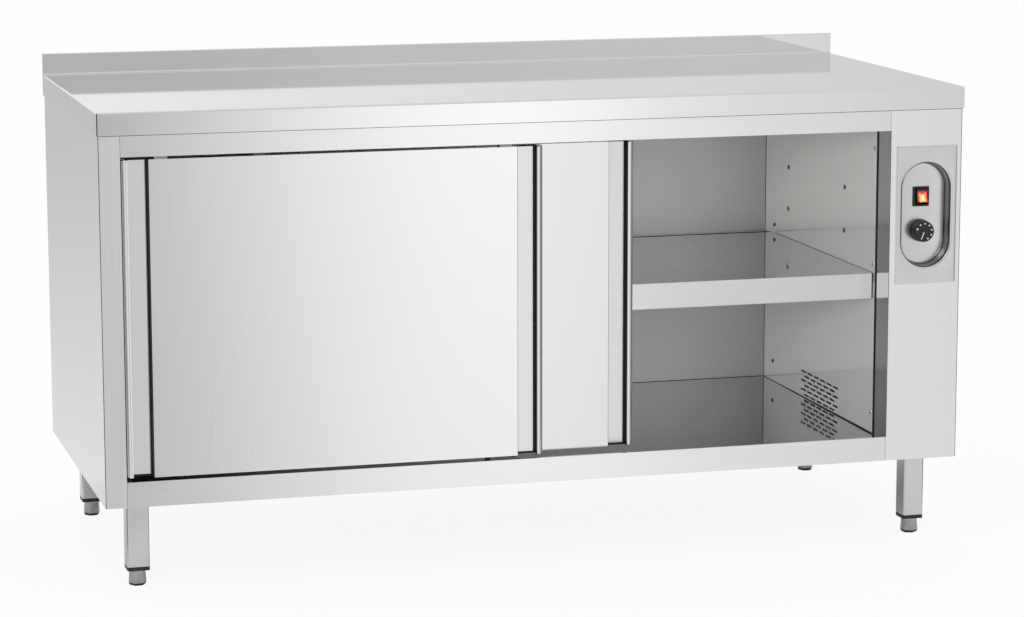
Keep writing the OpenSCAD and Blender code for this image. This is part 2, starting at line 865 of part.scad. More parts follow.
// Hanger screwed to the door's top, with the roller's axle
module hanger(x) {
    top = roller_rise + 10;
    translate([x, 0, door_h]) {
        block([-hanger_w / 2, 0, 0], [hanger_w / 2, door_t - lining, track_t]);
        block([-hanger_w / 2, 0, 0], [hanger_w / 2, track_t, top]);
        rod_y(track_t - eps, roller_y + roller_t + 1, 0, roller_rise, axle_r);
    }
}

module roller(x) {
    difference() {
        rod_y(roller_y, roller_y + roller_t, x, door_h + roller_rise, roller_r);
        rod_y(roller_y - eps, roller_y + roller_t + eps, x, door_h + roller_rise, axle_r + pin_gap);
    }
}

module in_front_door() {
    translate([door_x, door_y, door_z]) children();
}

module in_rear_door() {
    translate([rear_door_x, door_y + door_pitch, door_z]) children();
}

module hangers() {
    for (x = [hanger_inset, door_w - hanger_inset]) hanger(x);
}

module front_door_skin() {
    color("whitesmoke") in_front_door() door_skin();
}
module front_door_back() {
    color("lightgray") in_front_door() door_back();
}
module front_door_grips() {
    color("silver") in_front_door() both_edges() grip_bar();
}
module front_door_channels() {
    color("black") in_front_door() both_edges() grip_channel();
}
module front_door_strips() {
    color("gainsboro") in_front_door() both_edges() grip_strip();
}
module front_door_hangers() {
    color("silver") in_front_door() hangers();
}
module front_left_roller() {
    color("ivory") in_front_door() roller(hanger_inset);
}
module front_right_roller() {
    color("ivory") in_front_door() roller(door_w - hanger_inset);
}
module rear_door_skin() {
    color("whitesmoke") in_rear_door() door_skin();
}
module rear_door_back() {
    color("lightgray") in_rear_door() door_back();
}
module rear_door_grips() {
    color("silver") in_rear_door() both_edges() grip_bar();
}
module rear_door_channels() {
    color("black") in_rear_door() both_edges() grip_channel();
}
module rear_door_strips() {
    color("gainsboro") in_rear_door() both_edges() grip_strip();
}
module rear_door_hangers() {
    color("silver") in_rear_door() hangers();
}
module rear_left_roller() {
    color("ivory") in_rear_door() roller(hanger_inset);
}
module rear_right_roller() {
    color("ivory") in_rear_door() roller(door_w - hanger_inset);
}

// ---------- Controls ----------

module control_plate() {
    color("lightgray") difference() {
        union() {
            block([control_x - plate_w / 2, plate_y, plate_z - plate_h / 2],
                  [control_x + plate_w / 2, body_front, plate_z + plate_h / 2]);
            along_y(plate_y, pill_back_y)
                translate([control_x, plate_z]) pill(pill_w + 2 * sheet, pill_h + 2 * sheet);
        }
        along_y(plate_y - eps, pill_floor_y) translate([control_x, plate_z]) pill(pill_w, pill_h);
        for (s = [-1, 1])
            rod_y(plate_y - eps, body_front + eps, control_x, plate_z + s * plate_screw_pitch / 2,
                  screw_r + hole_gap);
        translate([control_x, pill_floor_y, switch_z])
            cube([switch_w + 2 * hole_gap, 4 * sheet, switch_h + 2 * hole_gap], center = true);
        rod_y(pill_floor_y - eps, pill_back_y + eps, control_x, knob_z, shaft_r + 1);
    }
}

module rocker_housing() {
    pocket_w = rocker_w + 2 * run_gap;
    pocket_h = rocker_h + 4;
    back = pill_floor_y + switch_body_d;
    color("black") difference() {
        union() {
            block([control_x - bezel_w / 2, pill_floor_y - bezel_t, switch_z - bezel_h / 2],
                  [control_x + bezel_w / 2, pill_floor_y, switch_z + bezel_h / 2]);
            block([control_x - switch_w / 2, pill_floor_y - eps, switch_z - switch_h / 2],
                  [control_x + switch_w / 2, back, switch_z + switch_h / 2]);
        }
        block([control_x - pocket_w / 2, pill_floor_y - bezel_t - eps, switch_z - pocket_h / 2],
              [control_x + pocket_w / 2, rocker_pivot_y + 2 * rocker_back, switch_z + pocket_h / 2]);
        rod_x(control_x - rocker_pin_x - pin_gap, control_x + rocker_pin_x + pin_gap,
              rocker_pivot_y, switch_z, rocker_pin_r + pin_gap);
    }
}

// Rocker, dished between its two ends and tilted with its top pressed in
module rocker() {
    half = rocker_h / 2;
    color("red") translate([0, rocker_pivot_y, switch_z]) rotate([-rocker_tilt, 0, 0]) {
        along_x(control_x - rocker_w / 2, control_x + rocker_w / 2)
            polygon([[-rocker_front, -half], [-rocker_front + rocker_dish, 0], [-rocker_front, half],
                     [0, half - 1], [rocker_back, half / 2], [rocker_back, -half / 2], [0, -half + 1]]);
        rod_x(control_x - rocker_pin_x, control_x + rocker_pin_x, 0, 0, rocker_pin_r);
    }
}

module thermostat_body() {
    half = thermostat_w / 2;
    top = min(knob_z + half, switch_z - bezel_h / 2);
    color("slategray") difference() {
        block([control_x - half, pill_back_y, knob_z - half],
              [control_x + half, pill_back_y + thermostat_d, top]);
        rod_y(pill_back_y - eps, pill_back_y + thermostat_d - 4, control_x, knob_z, shaft_r + pin_gap);
    }
}

module thermostat_shaft() {
    front = pill_floor_y - knob_h + knob_cap + 1;
    color("silver") rod_y(front, pill_back_y + thermostat_d - 5, control_x, knob_z, shaft_r);
}

// Knob with a slightly narrower face, bored for the shaft
module thermostat_knob() {
    base_r = knob_d / 2;
    face_r = base_r - 1.5;
    color("black") translate([control_x, pill_floor_y - run_gap, knob_z]) rotate([90, 0, 0]) difference() {
        rotate_extrude($fn = 72) polygon(concat(
            [[0, 0], [base_r, 0], [base_r, knob_h / 3]],
            arc([face_r - 1.5, knob_h - 1.5], 1.5, 0, 90, 4),
            [[0, knob_h]]));
        translate([0, 0, -eps]) cylinder(h = knob_h - knob_cap + eps, r = shaft_r + pin_gap / 2);
    }
}

// ---------- Blower and heater ----------

module blower_casing() {
    end_t = casing_t + 0.3;
    tongue_x = wheel_x - casing_r + 8;
    tongue_z = vent_top + 2;
    roof_z = wheel_z + casing_r + 2;
    far_x = wheel_x + casing_r + 2;
    color("silver") difference() {
        union() {
            along_y(casing_y0, casing_y1) {
                difference() {
                    translate([wheel_x, wheel_z]) circle(r = casing_r + casing_t, $fn = 72);
                    translate([wheel_x, wheel_z]) circle(r = casing_r, $fn = 72);
                    translate([wheel_x - 2 * casing_r, wheel_z - 2 * casing_r])
                        square([2 * casing_r, 4 * casing_r]);
                }
                translate([liner_outside, wheel_z - casing_r - casing_t])
                    square([wheel_x - liner_outside, casing_t]);
                polygon([[liner_outside, tongue_z], [tongue_x, tongue_z],
                         [tongue_x, tongue_z + casing_t], [liner_outside, tongue_z + casing_t]]);
            }
            for (y = [casing_y0, casing_y1 - end_t])
                block([liner_outside, y, wheel_z - casing_r - casing_t], [far_x, y + end_t, roof_z]);
        }
        rod_y(casing_y0 - eps, casing_y1 + eps, wheel_x, wheel_z, wheel_shaft_r + pin_gap);
        for (z = [element_low, element_high])
            rod_y(casing_y1 - end_t - eps, casing_y1 + eps, element_x, z, element_r + hole_gap);
    }
}

module blower_wheel() {
    y0 = casing_y0 + 5;
    y1 = casing_y1 - 5;
    disc_t = 2;
    color("silver") {
        rod_y(casing_y0 - 5, casing_y1 + motor_l - 8, wheel_x, wheel_z, wheel_shaft_r);
        for (y = [y0, (y0 + y1 - disc_t) / 2, y1 - disc_t]) rod_y(y, y + disc_t, wheel_x, wheel_z, wheel_r);
        translate([wheel_x, 0, wheel_z]) for (i = [0:blades - 1]) rotate([0, i * 360 / blades, 0])
            block([wheel_r - blade_w - 0.4, y0 + disc_t / 2, -0.6], [wheel_r - 0.4, y1 - disc_t / 2, 0.6]);
    }
}

module blower_motor() {
    color("dimgray") difference() {
        rod_y(casing_y1, casing_y1 + motor_l, wheel_x, wheel_z, wheel_r);
        rod_y(casing_y1 - eps, casing_y1 + motor_l - 6, wheel_x, wheel_z, wheel_shaft_r + pin_gap);
    }
}

// Two straight legs joined by a half-round bend at the front
module heating_element() {
    bend = (element_high - element_low) / 2;
    mid = (element_high + element_low) / 2;
    turn_y = casing_y0 + 22;
    color("gray") {
        for (z = [element_low, element_high]) rod_y(turn_y, element_end, element_x, z, element_r);
        translate([element_x, turn_y, mid]) rotate([0, 90, 0]) rotate([0, 0, 180])
            rotate_extrude(angle = 180) translate([bend, 0]) circle(r = element_r);
    }
}

// ---------- Connections ----------

module terminal_block() {
    color("ivory") block([block_x0, block_y, block_z0], [block_x1, inside_rear, block_z1]);
}

// Gland in the base, for a lead that leaves downwards; its nut is inside
module cable_gland() {
    hex_r = gland_r * 1.35;
    nut_t = 5;
    base_top = underside_h + sheet;
    thread_top = base_top + nut_t + 3;
    color("black") translate([gland_x, gland_y, 0]) difference() {
        union() {
            for (z = [underside_h - nut_t, base_top]) along_z(z, z + nut_t) circle(r = hex_r, $fn = 6);
            rod_z(underside_h - nut_t, thread_top, 0, 0, gland_r);
            rod_z(underside_h - gland_drop, underside_h, 0, 0, gland_r - 0.5);
        }
        rod_z(underside_h - gland_drop - eps, thread_top + eps, 0, 0, gland_bore_r);
    }
}

// Cable along straight runs, with a tied bend at each turn
module cable(points) {
    for (i = [0:len(points) - 2]) {
        a = points[i];
        b = points[i + 1];
        lo = [for (k = [0:2]) min(a[k], b[k])];
        hi = [for (k = [0:2]) max(a[k], b[k])];
        if (a[0] != b[0]) rod_x(lo[0], hi[0], a[1], a[2], wire_r);
        if (a[1] != b[1]) rod_y(lo[1], hi[1], a[0], a[2], wire_r);
        if (a[2] != b[2]) rod_z(lo[2], hi[2], a[0], a[1], wire_r);
    }
    for (i = [1:1:len(points) - 2]) translate(points[i]) sphere(r = wire_r + 0.6);
}

module wiring() {
    wall_y = block_y + block_t / 2;
    knob_lead_x = control_x;
    switch_lead_x = control_x + 8;
    motor_lead_z = wheel_z + wheel_r / 2;
    color("dimgray") {
        cable([[knob_lead_x, wall_y, block_z1], [knob_lead_x, wall_y, knob_z],
               [knob_lead_x, pill_back_y + thermostat_d, knob_z]]);
        cable([[switch_lead_x, wall_y, block_z1], [switch_lead_x, wall_y, switch_z],
               [switch_lead_x, pill_floor_y + switch_body_d, switch_z]]);
        cable([[wheel_x - 10, block_y, motor_lead_z], [wheel_x - 10, casing_y1 + motor_l, motor_lead_z]]);
        for (z = [element_low, element_high])
            cable([[element_x, block_y, z], [element_x, element_end, z]]);
    }
}

// ---------- Legs and feet ----------

module legs() {
    color("darkgray") for (c = CORNERS) translate([c[0] * leg_x, c[1] * leg_y, 0]) difference() {
        along_z(leg_bottom, leg_top) tube_outline(leg_w, leg_r);
        along_z(leg_bottom - eps, leg_top + eps) tube_outline(leg_w - 2 * leg_t, leg_r - leg_t);
    }
}

module leg_plugs() {
    plug_w = leg_w - 2 * leg_t - 2 * hole_gap;
    color("black") for (c = CORNERS) translate([c[0] * leg_x, c[1] * leg_y, 0]) difference() {
        union() {
            along_z(leg_bottom - plug_h, leg_bottom) tube_outline(leg_w, leg_r);
            along_z(leg_bottom - eps, leg_bottom + stem_l - plug_h) tube_outline(plug_w, leg_r - leg_t);
        }
        rod_z(leg_bottom - plug_h - eps, leg_bottom + stem_l - plug_h + eps, 0, 0, stem_r + pin_gap);
    }
}

// Levelling foot: rubber-shod tapered sleeve on a threaded stem
module foot(c) {
    r = foot_d / 2;
    color("gray") translate([c[0] * leg_x, c[1] * leg_y, 0]) {
        rotate_extrude($fn = 64)
            polygon([[0, 0], [r - 2, 0], [r, 2], [r, pad_h], [r - 0.8, foot_h], [0, foot_h]]);
        rod_z(foot_h - eps, foot_h + run_gap + stem_l - 1, 0, 0, stem_r);
    }
}

module front_left_foot() {
    foot(CORNERS[0]);
}
module front_right_foot() {
    foot(CORNERS[1]);
}
module rear_left_foot() {
    foot(CORNERS[2]);
}
module rear_right_foot() {
    foot(CORNERS[3]);
}

// ---------- Drawing ----------

worktop();
worktop_board();
worktop_braces();
left_post();
right_column();
header_rail();
sill_rail();
left_side_panel();
right_side_panel();
back_panel();
base_panel();
base_rails();
floor_pan();
left_liner();
right_liner();
back_liner();
ceiling_liner();
insulation();
shelf();
shelf_stiffener();
shelf_pegs();
liner_inserts();
panel_screws();
door_tracks();
bottom_guide();
front_door_skin();
front_door_back();
front_door_grips();
front_door_channels();
front_door_strips();
front_door_hangers();
front_left_roller();
front_right_roller();
rear_door_skin();
rear_door_back();
rear_door_grips();
rear_door_channels();
rear_door_strips();
rear_door_hangers();
rear_left_roller();
rear_right_roller();
control_plate();
rocker_housing();
rocker();
thermostat_body();
thermostat_shaft();
thermostat_knob();
blower_casing();
blower_wheel();
blower_motor();
heating_element();
terminal_block();
cable_gland();
wiring();
legs();
leg_plugs();
front_left_foot();
front_right_foot();
rear_left_foot();
rear_right_foot();
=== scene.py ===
import math

import bmesh
import bpy
from mathutils import Matrix, Vector


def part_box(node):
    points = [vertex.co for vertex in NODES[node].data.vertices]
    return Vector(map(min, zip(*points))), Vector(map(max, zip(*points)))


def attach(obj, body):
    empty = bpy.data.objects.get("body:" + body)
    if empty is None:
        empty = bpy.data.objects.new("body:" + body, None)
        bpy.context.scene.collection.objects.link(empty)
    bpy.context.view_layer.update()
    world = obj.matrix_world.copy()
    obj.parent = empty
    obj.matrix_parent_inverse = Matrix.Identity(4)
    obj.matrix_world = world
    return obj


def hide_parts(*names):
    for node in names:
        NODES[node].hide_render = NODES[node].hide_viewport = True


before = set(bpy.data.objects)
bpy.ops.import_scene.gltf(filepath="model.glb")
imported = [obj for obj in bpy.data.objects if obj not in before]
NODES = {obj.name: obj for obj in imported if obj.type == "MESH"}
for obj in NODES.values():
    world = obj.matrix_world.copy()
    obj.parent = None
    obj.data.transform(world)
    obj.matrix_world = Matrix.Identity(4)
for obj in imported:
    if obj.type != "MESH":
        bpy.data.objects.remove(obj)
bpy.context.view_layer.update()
MM = 0.001


# ---------- Node helpers ----------

def add(tree, kind, inputs=None, **settings):
    """A shader node with its settings; an input is a value or another node's output."""
    n = tree.nodes.new(kind)
    for key, value in settings.items():
        setattr(n, key, value)
    for key, value in (inputs or {}).items():
        if isinstance(value, bpy.types.NodeSocket):
            tree.links.new(value, n.inputs[key])
        else:
            n.inputs[key].default_value = value
    return n


def remap(tree, value, low, high, new_low, new_high):
    return add(tree, "ShaderNodeMapRange",
               {"Value": value, "From Min": low, "From Max": high,
                "To Min": new_low, "To Max": new_high}).outputs["Result"]


def math_node(tree, operation, a, b=0.0):
    return add(tree, "ShaderNodeMath", {0: a, 1: b}, operation=operation).outputs[0]


def noise(tree, stretch, detail=2.0, rough=0.5):
    """Noise over the object's own metres, with its own scale along each axis."""
    place = add(tree, "ShaderNodeTexCoord").outputs["Object"]
    scaled = add(tree, "ShaderNodeVectorMath", {0: place, 1: stretch},
                 operation="MULTIPLY").outputs[0]
    return add(tree, "ShaderNodeTexNoise",
               {"Vector": scaled, "Scale": 1.0, "Detail": detail, "Roughness": rough}).outputs["Fac"]


def blend_colours(tree, factor, a, b):
    mixed = add(tree, "ShaderNodeMix", data_type="RGBA")
    tree.links.new(factor, mixed.inputs["Factor"])
    mixed.inputs[6].default_value = (*a, 1)
    mixed.inputs[7].default_value = (*b, 1)
    return mixed.outputs[2]


def surface(name, **sockets):
    """An empty Principled material with constants set on its own sockets."""
    made = bpy.data.materials.new(name)
    made.use_nodes = True
    shader = made.node_tree.nodes["Principled BSDF"]
    for key, value in sockets.items():
        key = key.replace("_", " ")
        shader.inputs[key].default_value = (*value, 1) if isinstance(value, tuple) else value
    return made, made.node_tree, shader


# ---------- Materials ----------

def steel(name, base, rough, grain, spread=0.015, rough_spread=0.03, bump=0.0, cloud=0.015,
          cloud_size=1.6, tint=(1.0, 1.0, 1.0), metal=1.0, **sockets):
    """Sheet steel: rolled grain along one axis, broad faint clouds, and varied gloss."""
    made, tree, shader = surface(name, Metallic=metal, **sockets)
    lines = noise(tree, grain, 3.0, 0.6)
    broad = noise(tree, (cloud_size, cloud_size, cloud_size * 0.7), 2.0, 0.5)
    both = math_node(tree, "ADD", math_node(tree, "MULTIPLY", lines, spread * 2),
                     math_node(tree, "MULTIPLY", broad, cloud * 2))
    shade = remap(tree, both, (spread + cloud) * 0.5, (spread + cloud) * 1.5, 0.0, 1.0)
    low = tuple((base - spread - cloud) * t for t in tint)
    high = tuple((base + spread + cloud) * t for t in tint)
    tree.links.new(blend_colours(tree, shade, low, high), shader.inputs["Base Color"])
    tree.links.new(remap(tree, lines, 0.3, 0.7, rough - rough_spread, rough + rough_spread),
                   shader.inputs["Roughness"])
    if bump:
        relief = add(tree, "ShaderNodeBump", {"Height": lines, "Strength": bump, "Distance": 0.0002})
        tree.links.new(relief.outputs[0], shader.inputs["Normal"])
    return made


def moulded(name, colour, rough, spread=0.12, pebble=1500.0, bump=0.12, **sockets):
    """Moulded plastic or enamel: fine pebbled face and slightly uneven gloss."""
    made, tree, shader = surface(name, **sockets)
    fine = noise(tree, (pebble, pebble, pebble), 2.0, 0.6)
    broad = noise(tree, (40, 40, 40), 2.0, 0.5)
    low = tuple(c * (1 - spread) for c in colour)
    high = tuple(min(1.0, c * (1 + spread)) for c in colour)
    tree.links.new(blend_colours(tree, broad, low, high), shader.inputs["Base Color"])
    tree.links.new(remap(tree, broad, 0.3, 0.7, rough - 0.05, rough + 0.05), shader.inputs["Roughness"])
    relief = add(tree, "ShaderNodeBump", {"Height": fine, "Strength": bump, "Distance": 0.00015})
    tree.links.new(relief.outputs[0], shader.inputs["Normal"])
    return made


# Noise scale along x, y and z for a brushed grain that runs upright or lengthwise
UPRIGHT = (900.0, 900.0, 5.0)
LENGTHWISE = (4.0, 900.0, 900.0)

mats = {
    "worktop": steel("worktop_steel", 0.80, 0.04, LENGTHWISE, rough_spread=0.01),
    "face": steel("face_steel", 0.81, 0.10, UPRIGHT, bump=0.02),
    "post": steel("post_steel", 0.87, 0.12, UPRIGHT, bump=0.02),
    # The rear door's skin is the front door's steel drawn darker: painted shade
    "rear_face_painted_shade": steel("rear_door_painted_shade", 0.75, 0.12, UPRIGHT, bump=0.02),
    "rail": steel("rail_steel", 0.81, 0.10, LENGTHWISE, bump=0.02),
    "side": steel("side_steel", 0.80, 0.16, UPRIGHT, bump=0.02),
    "plate": steel("control_plate_steel", 0.70, 0.24, UPRIGHT, rough_spread=0.03, bump=0.03),
    "hanger": steel("hanger_steel", 0.36, 0.36, UPRIGHT, rough_spread=0.03),
    # The recess's deep wall is the plate's own sheet drawn darker: painted shade in the recess
    "recess": steel("recess_wall_painted_shade", 0.24, 0.30, UPRIGHT, rough_spread=0.02),
    "back_wall": steel("back_wall_steel", 0.60, 0.50, LENGTHWISE, spread=0.012, cloud=0.012, metal=0.60),
    "wall": steel("chamber_wall_steel", 0.87, 0.11, UPRIGHT, spread=0.015, rough_spread=0.01, cloud=0.02,
                  metal=0.88, tint=(1.0, 0.99, 0.965)),
    "floor": steel("chamber_floor_steel", 0.48, 0.05, LENGTHWISE, rough_spread=0.015),
    "shelf": steel("shelf_steel", 0.67, 0.06, LENGTHWISE, rough_spread=0.015),
    "galvanised": steel("galvanised_steel", 0.55, 0.38, (60.0, 60.0, 60.0), spread=0.05, cloud=0.03,
                        cloud_size=9.0, tint=(0.97, 0.99, 1.0)),
    "bright": steel("bright_steel", 0.78, 0.16, (300.0, 300.0, 300.0), bump=0.02),
    "leg": steel("leg_steel", 0.68, 0.22, UPRIGHT, bump=0.02),
    "foot": steel("foot_sleeve_steel", 0.45, 0.24, (500.0, 500.0, 60.0), spread=0.05, bump=0.05),
    "strip": steel("strip_steel", 0.80, 0.20, UPRIGHT),
    # The rear door's strips are drawn darker than the front door's: painted shade
    "rear_strip_painted_shade": steel("rear_strip_steel_painted_shade", 0.74, 0.20, UPRIGHT),
    "grip": steel("grip_steel", 0.80, 0.14, UPRIGHT, bump=0.02),
    "element": steel("element_steel", 0.30, 0.45, (300.0, 300.0, 300.0), spread=0.05, tint=(1, 0.93, 0.85)),
    # Dark steel of the liner inserts; the rear screw heads wear it as painted shade
    "dark_steel": steel("dark_steel_for_inserts_and_shaded_screws", 0.10, 0.30, (300.0, 300.0, 300.0), spread=0.03, bump=0.02),
    "black": moulded("black_plastic", (0.009, 0.009, 0.010), 0.42),
    # The door channels are drawn black: painted shade in the finger channels
    "channel": moulded("channel_black_painted_shade", (0.008, 0.008, 0.008), 0.6, bump=0.05),
    # Black rubber of the feet's pads; the same black paints the shade in gaps as dark beads
    "rubber": moulded("black_rubber_and_gap_shade", (0.010, 0.010, 0.010), 0.62, pebble=900.0, bump=0.2),
    "grey": moulded("grey_plastic", (0.14, 0.14, 0.145), 0.45),
    "white": moulded("white_mark", (0.80, 0.80, 0.78), 0.45, spread=0.04, bump=0.03),
    "enamel": moulded("dark_enamel", (0.035, 0.037, 0.042), 0.35, bump=0.25, pebble=500.0),
    "sleeve": moulded("cable_sleeve", (0.05, 0.05, 0.055), 0.6, bump=0.2),
}


def board_material():
    """Pressed chipboard under the worktop sheet."""
    made, tree, shader = surface("chipboard", Roughness=0.85)
    flakes = noise(tree, (180, 260, 400), 4.0, 0.7)
    tree.links.new(blend_colours(tree, remap(tree, flakes, 0.35, 0.65, 0, 1),
                                 (0.30, 0.20, 0.11), (0.62, 0.46, 0.28)), shader.inputs["Base Color"])
    relief = add(tree, "ShaderNodeBump", {"Height": flakes, "Strength": 0.4, "Distance": 0.001})
    tree.links.new(relief.outputs[0], shader.inputs["Normal"])
    return made


def wool_material():
    """Mineral wool slab: yellowish matted fibres in layers."""
    made, tree, shader = surface("mineral_wool", Roughness=0.95, Sheen_Weight=0.3)
    layers = noise(tree, (60, 60, 500), 4.0, 0.7)
    tree.links.new(blend_colours(tree, remap(tree, layers, 0.3, 0.7, 0, 1),
                                 (0.45, 0.38, 0.20), (0.68, 0.60, 0.38)), shader.inputs["Base Color"])
    relief = add(tree, "ShaderNodeBump", {"Height": layers, "Strength": 0.8, "Distance": 0.002})
    tree.links.new(relief.outputs[0], shader.inputs["Normal"])
    return made


mats["board"] = board_material()
mats["wool"] = wool_material()


# ---------- Painted shade on carried-over nodes -----------------

def scale_tone(tree, tone):
    """Multiply the base colour of a steel by a factor."""
    steel_node = next(n for n in tree.nodes if n.type == "BSDF_PRINCIPLED")
    base = steel_node.inputs["Base Color"]
    scaled = add(tree, "ShaderNodeVectorMath", {0: base.links[0].from_socket, "Scale": tone},
                 operation="SCALE")
    tree.links.new(scaled.outputs[0], base)


def darker_top_painted_shade(material, share):
    """Painted shade: the shelf's top is drawn darker than its folded front edge."""
    tree = material.node_tree
    normal = add(tree, "ShaderNodeSeparateXYZ", {0: add(tree, "ShaderNodeTexCoord").outputs["Normal"]})
    scale_tone(tree, remap(tree, normal.outputs[2], 0.5, 0.9, 1.0, share))


def painted_corner_shade(material, at_x, at_y, wide, share):
    """Painted shade: a thin dark upright line where a sheet's two folded edges meet at a corner."""
    tree = material.node_tree
    place = add(tree, "ShaderNodeSeparateXYZ", {0: add(tree, "ShaderNodeTexCoord").outputs["Object"]})
    near = []
    for output, middle in ((place.outputs[0], at_x), (place.outputs[1], at_y)):
        away = math_node(tree, "ABSOLUTE", math_node(tree, "SUBTRACT", output, middle))
        near.append(remap(tree, away, wide, 0.7 * wide, 0.0, 1.0))
    corner_shade = math_node(tree, "MULTIPLY", near[0], near[1])
    scale_tone(tree, remap(tree, corner_shade, 0.0, 1.0, 1.0, share))


# Share of tone kept on the shelf's top: painted shade
SHELF_TOP_PAINTED_SHADE = 0.76
CORNER_SHADE_WIDTH = 2.2 * MM
CORNER_SHADE_SHARE = 0.12

darker_top_painted_shade(mats["shelf"], SHELF_TOP_PAINTED_SHADE)
worktop_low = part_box("worktop")[0]
# Painted shade down the worktop's front corner
painted_corner_shade(mats["worktop"], worktop_low.x, worktop_low.y, CORNER_SHADE_WIDTH, CORNER_SHADE_SHARE)


# ---------- Which steel or plastic each carried-over node wears ----------

DRESS = {
    "worktop": ["worktop"],
    "board": ["worktop_board"],
    "galvanised": ["worktop_braces", "base_panel", "base_rails", "door_tracks", "shelf_stiffener",
                   "blower_casing"],
    "hanger": ["front_door_hangers", "rear_door_hangers"],
    "face": ["front_door_skin"],
    "rear_face_painted_shade": ["rear_door_skin"],
    "post": ["left_post", "right_column"],
    "rail": ["header_rail", "sill_rail"],
    "side": ["left_side_panel", "right_side_panel", "back_panel", "front_door_back", "rear_door_back"],
    "floor": ["floor_pan"],
    "wall": ["left_liner", "right_liner", "ceiling_liner"],
    "back_wall": ["back_liner"],
    "wool": ["insulation"],
    "shelf": ["shelf"],
    "bright": ["shelf_pegs", "panel_screws", "blower_wheel", "thermostat_shaft"],
    "grey": ["bottom_guide", "thermostat_body"],
    "grip": ["front_door_grips", "rear_door_grips"],
    "channel": ["front_door_channels", "rear_door_channels"],
    "strip": ["front_door_strips", "rear_door_strips"],
    "black": ["rocker_housing", "thermostat_knob", "leg_plugs", "cable_gland",
              "front_left_roller", "front_right_roller", "rear_left_roller", "rear_right_roller"],
    "enamel": ["blower_motor"],
    "element": ["heating_element"],
    "dark_steel": ["liner_inserts"],
    "white": ["terminal_block"],
    "sleeve": ["wiring"],
    "plate": ["control_plate"],
    "leg": ["legs"],
    "foot": ["front_left_foot", "front_right_foot", "rear_left_foot", "rear_right_foot"],
}


def dress(obj, material):
    obj.data.materials.clear()
    obj.data.materials.append(material)


for key, names in DRESS.items():
    for name in names:
        dress(NODES[name], mats[key])


# ---------- Mesh helpers ----------

def piece(name, bm, body, material, sharp=32.0):
    """A finished piece from a bmesh in millimetres, smooth but for its sharp edges."""
    bmesh.ops.remove_doubles(bm, verts=bm.verts, dist=1e-4)
    bmesh.ops.recalc_face_normals(bm, faces=bm.faces)
    for v in bm.verts:
        v.co *= MM
    for f in bm.faces:
        f.smooth = True
    for e in bm.edges:
        if len(e.link_faces) != 2 or e.calc_face_angle() > math.radians(sharp):
            e.smooth = False
    mesh = bpy.data.meshes.new(name)
    bm.to_mesh(mesh)
    bm.free()
    obj = bpy.data.objects.new(name, mesh)
    bpy.context.scene.collection.objects.link(obj)
    obj.data.materials.append(material)
    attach(obj, body)
    return obj


def thicken(obj, sheet):
    """Gives an open shell the thickness of its sheet, away from its face."""
    thick = obj.modifiers.new("thickness", "SOLIDIFY")
    thick.thickness, thick.offset = sheet * MM, -1.0


def loft(bm, loops, cap_first=False, cap_last=False):
    """Skins a run of closed loops with the same number of points."""
    rows = [[bm.verts.new(p) for p in loop] for loop in loops]
    for a, b in zip(rows, rows[1:]):
        for i in range(len(a)):
            j = (i + 1) % len(a)
            bm.faces.new((a[i], a[j], b[j], b[i]))
    if cap_first:
        bm.faces.new(rows[0])
    if cap_last:
        bm.faces.new(rows[-1])
    return rows


def ring(n, r, y, cx=0.0, cz=0.0, wave=None):
    """Circle of n points in an XZ plane at depth y."""
    out = []
    for i in range(n):
        a = 2 * math.pi * i / n
        q = r * (wave(a) if wave else 1.0)
        out.append((cx + q * math.cos(a), y, cz + q * math.sin(a)))
    return out


def pill(w, h, y, cx, cz, n=28):
    """Upright pill outline at depth y."""
    r, half = w / 2, (h - w) / 2
    out = []
    for k in range(2 * (n + 1)):
        top = k <= n
        a = math.pi * (k / n if top else (k - 1) / n)
        out.append((cx + r * math.cos(a), y, cz + (half if top else -half) + r * math.sin(a)))
    return out


def rect(w, h, y, cx, cz, r, n=4):
    """Rectangle with round corners at depth y."""
    out = []
    for sx, sz, a0 in ((1, 1, 0), (-1, 1, 90), (-1, -1, 180), (1, -1, 270)):
        for i in range(n + 1):
            a = math.radians(a0 + 90 * i / n)
            out.append((cx + sx * (w / 2 - r) + r * math.cos(a), y,
                        cz + sz * (h / 2 - r) + r * math.sin(a)))
    return out


def edges_of(row):
    """The edges along one closed row of vertices."""
    return [next(e for e in v.link_edges if w in e.verts) for v, w in zip(row, row[1:] + row[:1])]


def loose_loop(bm, points):
    """Adds a closed loop of edges and returns them."""
    vs = [bm.verts.new(p) for p in points]
    return [bm.edges.new((a, b)) for a, b in zip(vs, vs[1:] + vs[:1])]


def fill(bm, edges):
    """Flat face that looks to the front, between closed loops of edges."""
    bmesh.ops.triangle_fill(bm, use_beauty=True, edges=edges, normal=Vector((0, -1, 0)))


# ---------- Camera ----------

CAMERA_AT = (-1.605247, -5.941387, 1.473153)
CAMERA_YAW, CAMERA_PITCH, CAMERA_ROLL = 15.4188, -9.7459, -0.0868
CAMERA_LENS, CAMERA_SENSOR = 115.817, 36.0


def look():
    """Camera placed from a fit of its place and turn to the cabinet's straight edges."""
    yaw, pitch, roll = (math.radians(a) for a in (CAMERA_YAW, CAMERA_PITCH, CAMERA_ROLL))
    ahead = Vector((math.sin(yaw) * math.cos(pitch), math.cos(yaw) * math.cos(pitch), math.sin(pitch)))
    right = Vector((math.cos(yaw), -math.sin(yaw), 0))
    up = right.cross(ahead)
    right, up = (math.cos(roll) * right + math.sin(roll) * up,
                 -math.sin(roll) * right + math.cos(roll) * up)
    data = bpy.data.cameras.new("camera")
    data.sensor_width, data.lens = CAMERA_SENSOR, CAMERA_LENS
    data.clip_end = 200.0
    cam = bpy.data.objects.new("camera", data)
    bpy.context.scene.collection.objects.link(cam)
    turn = Matrix((right, up, -ahead)).transposed().to_4x4()
    cam.matrix_world = Matrix.Translation(CAMERA_AT) @ turn
    bpy.context.scene.camera = cam


look()


# ---------- Controls ----------

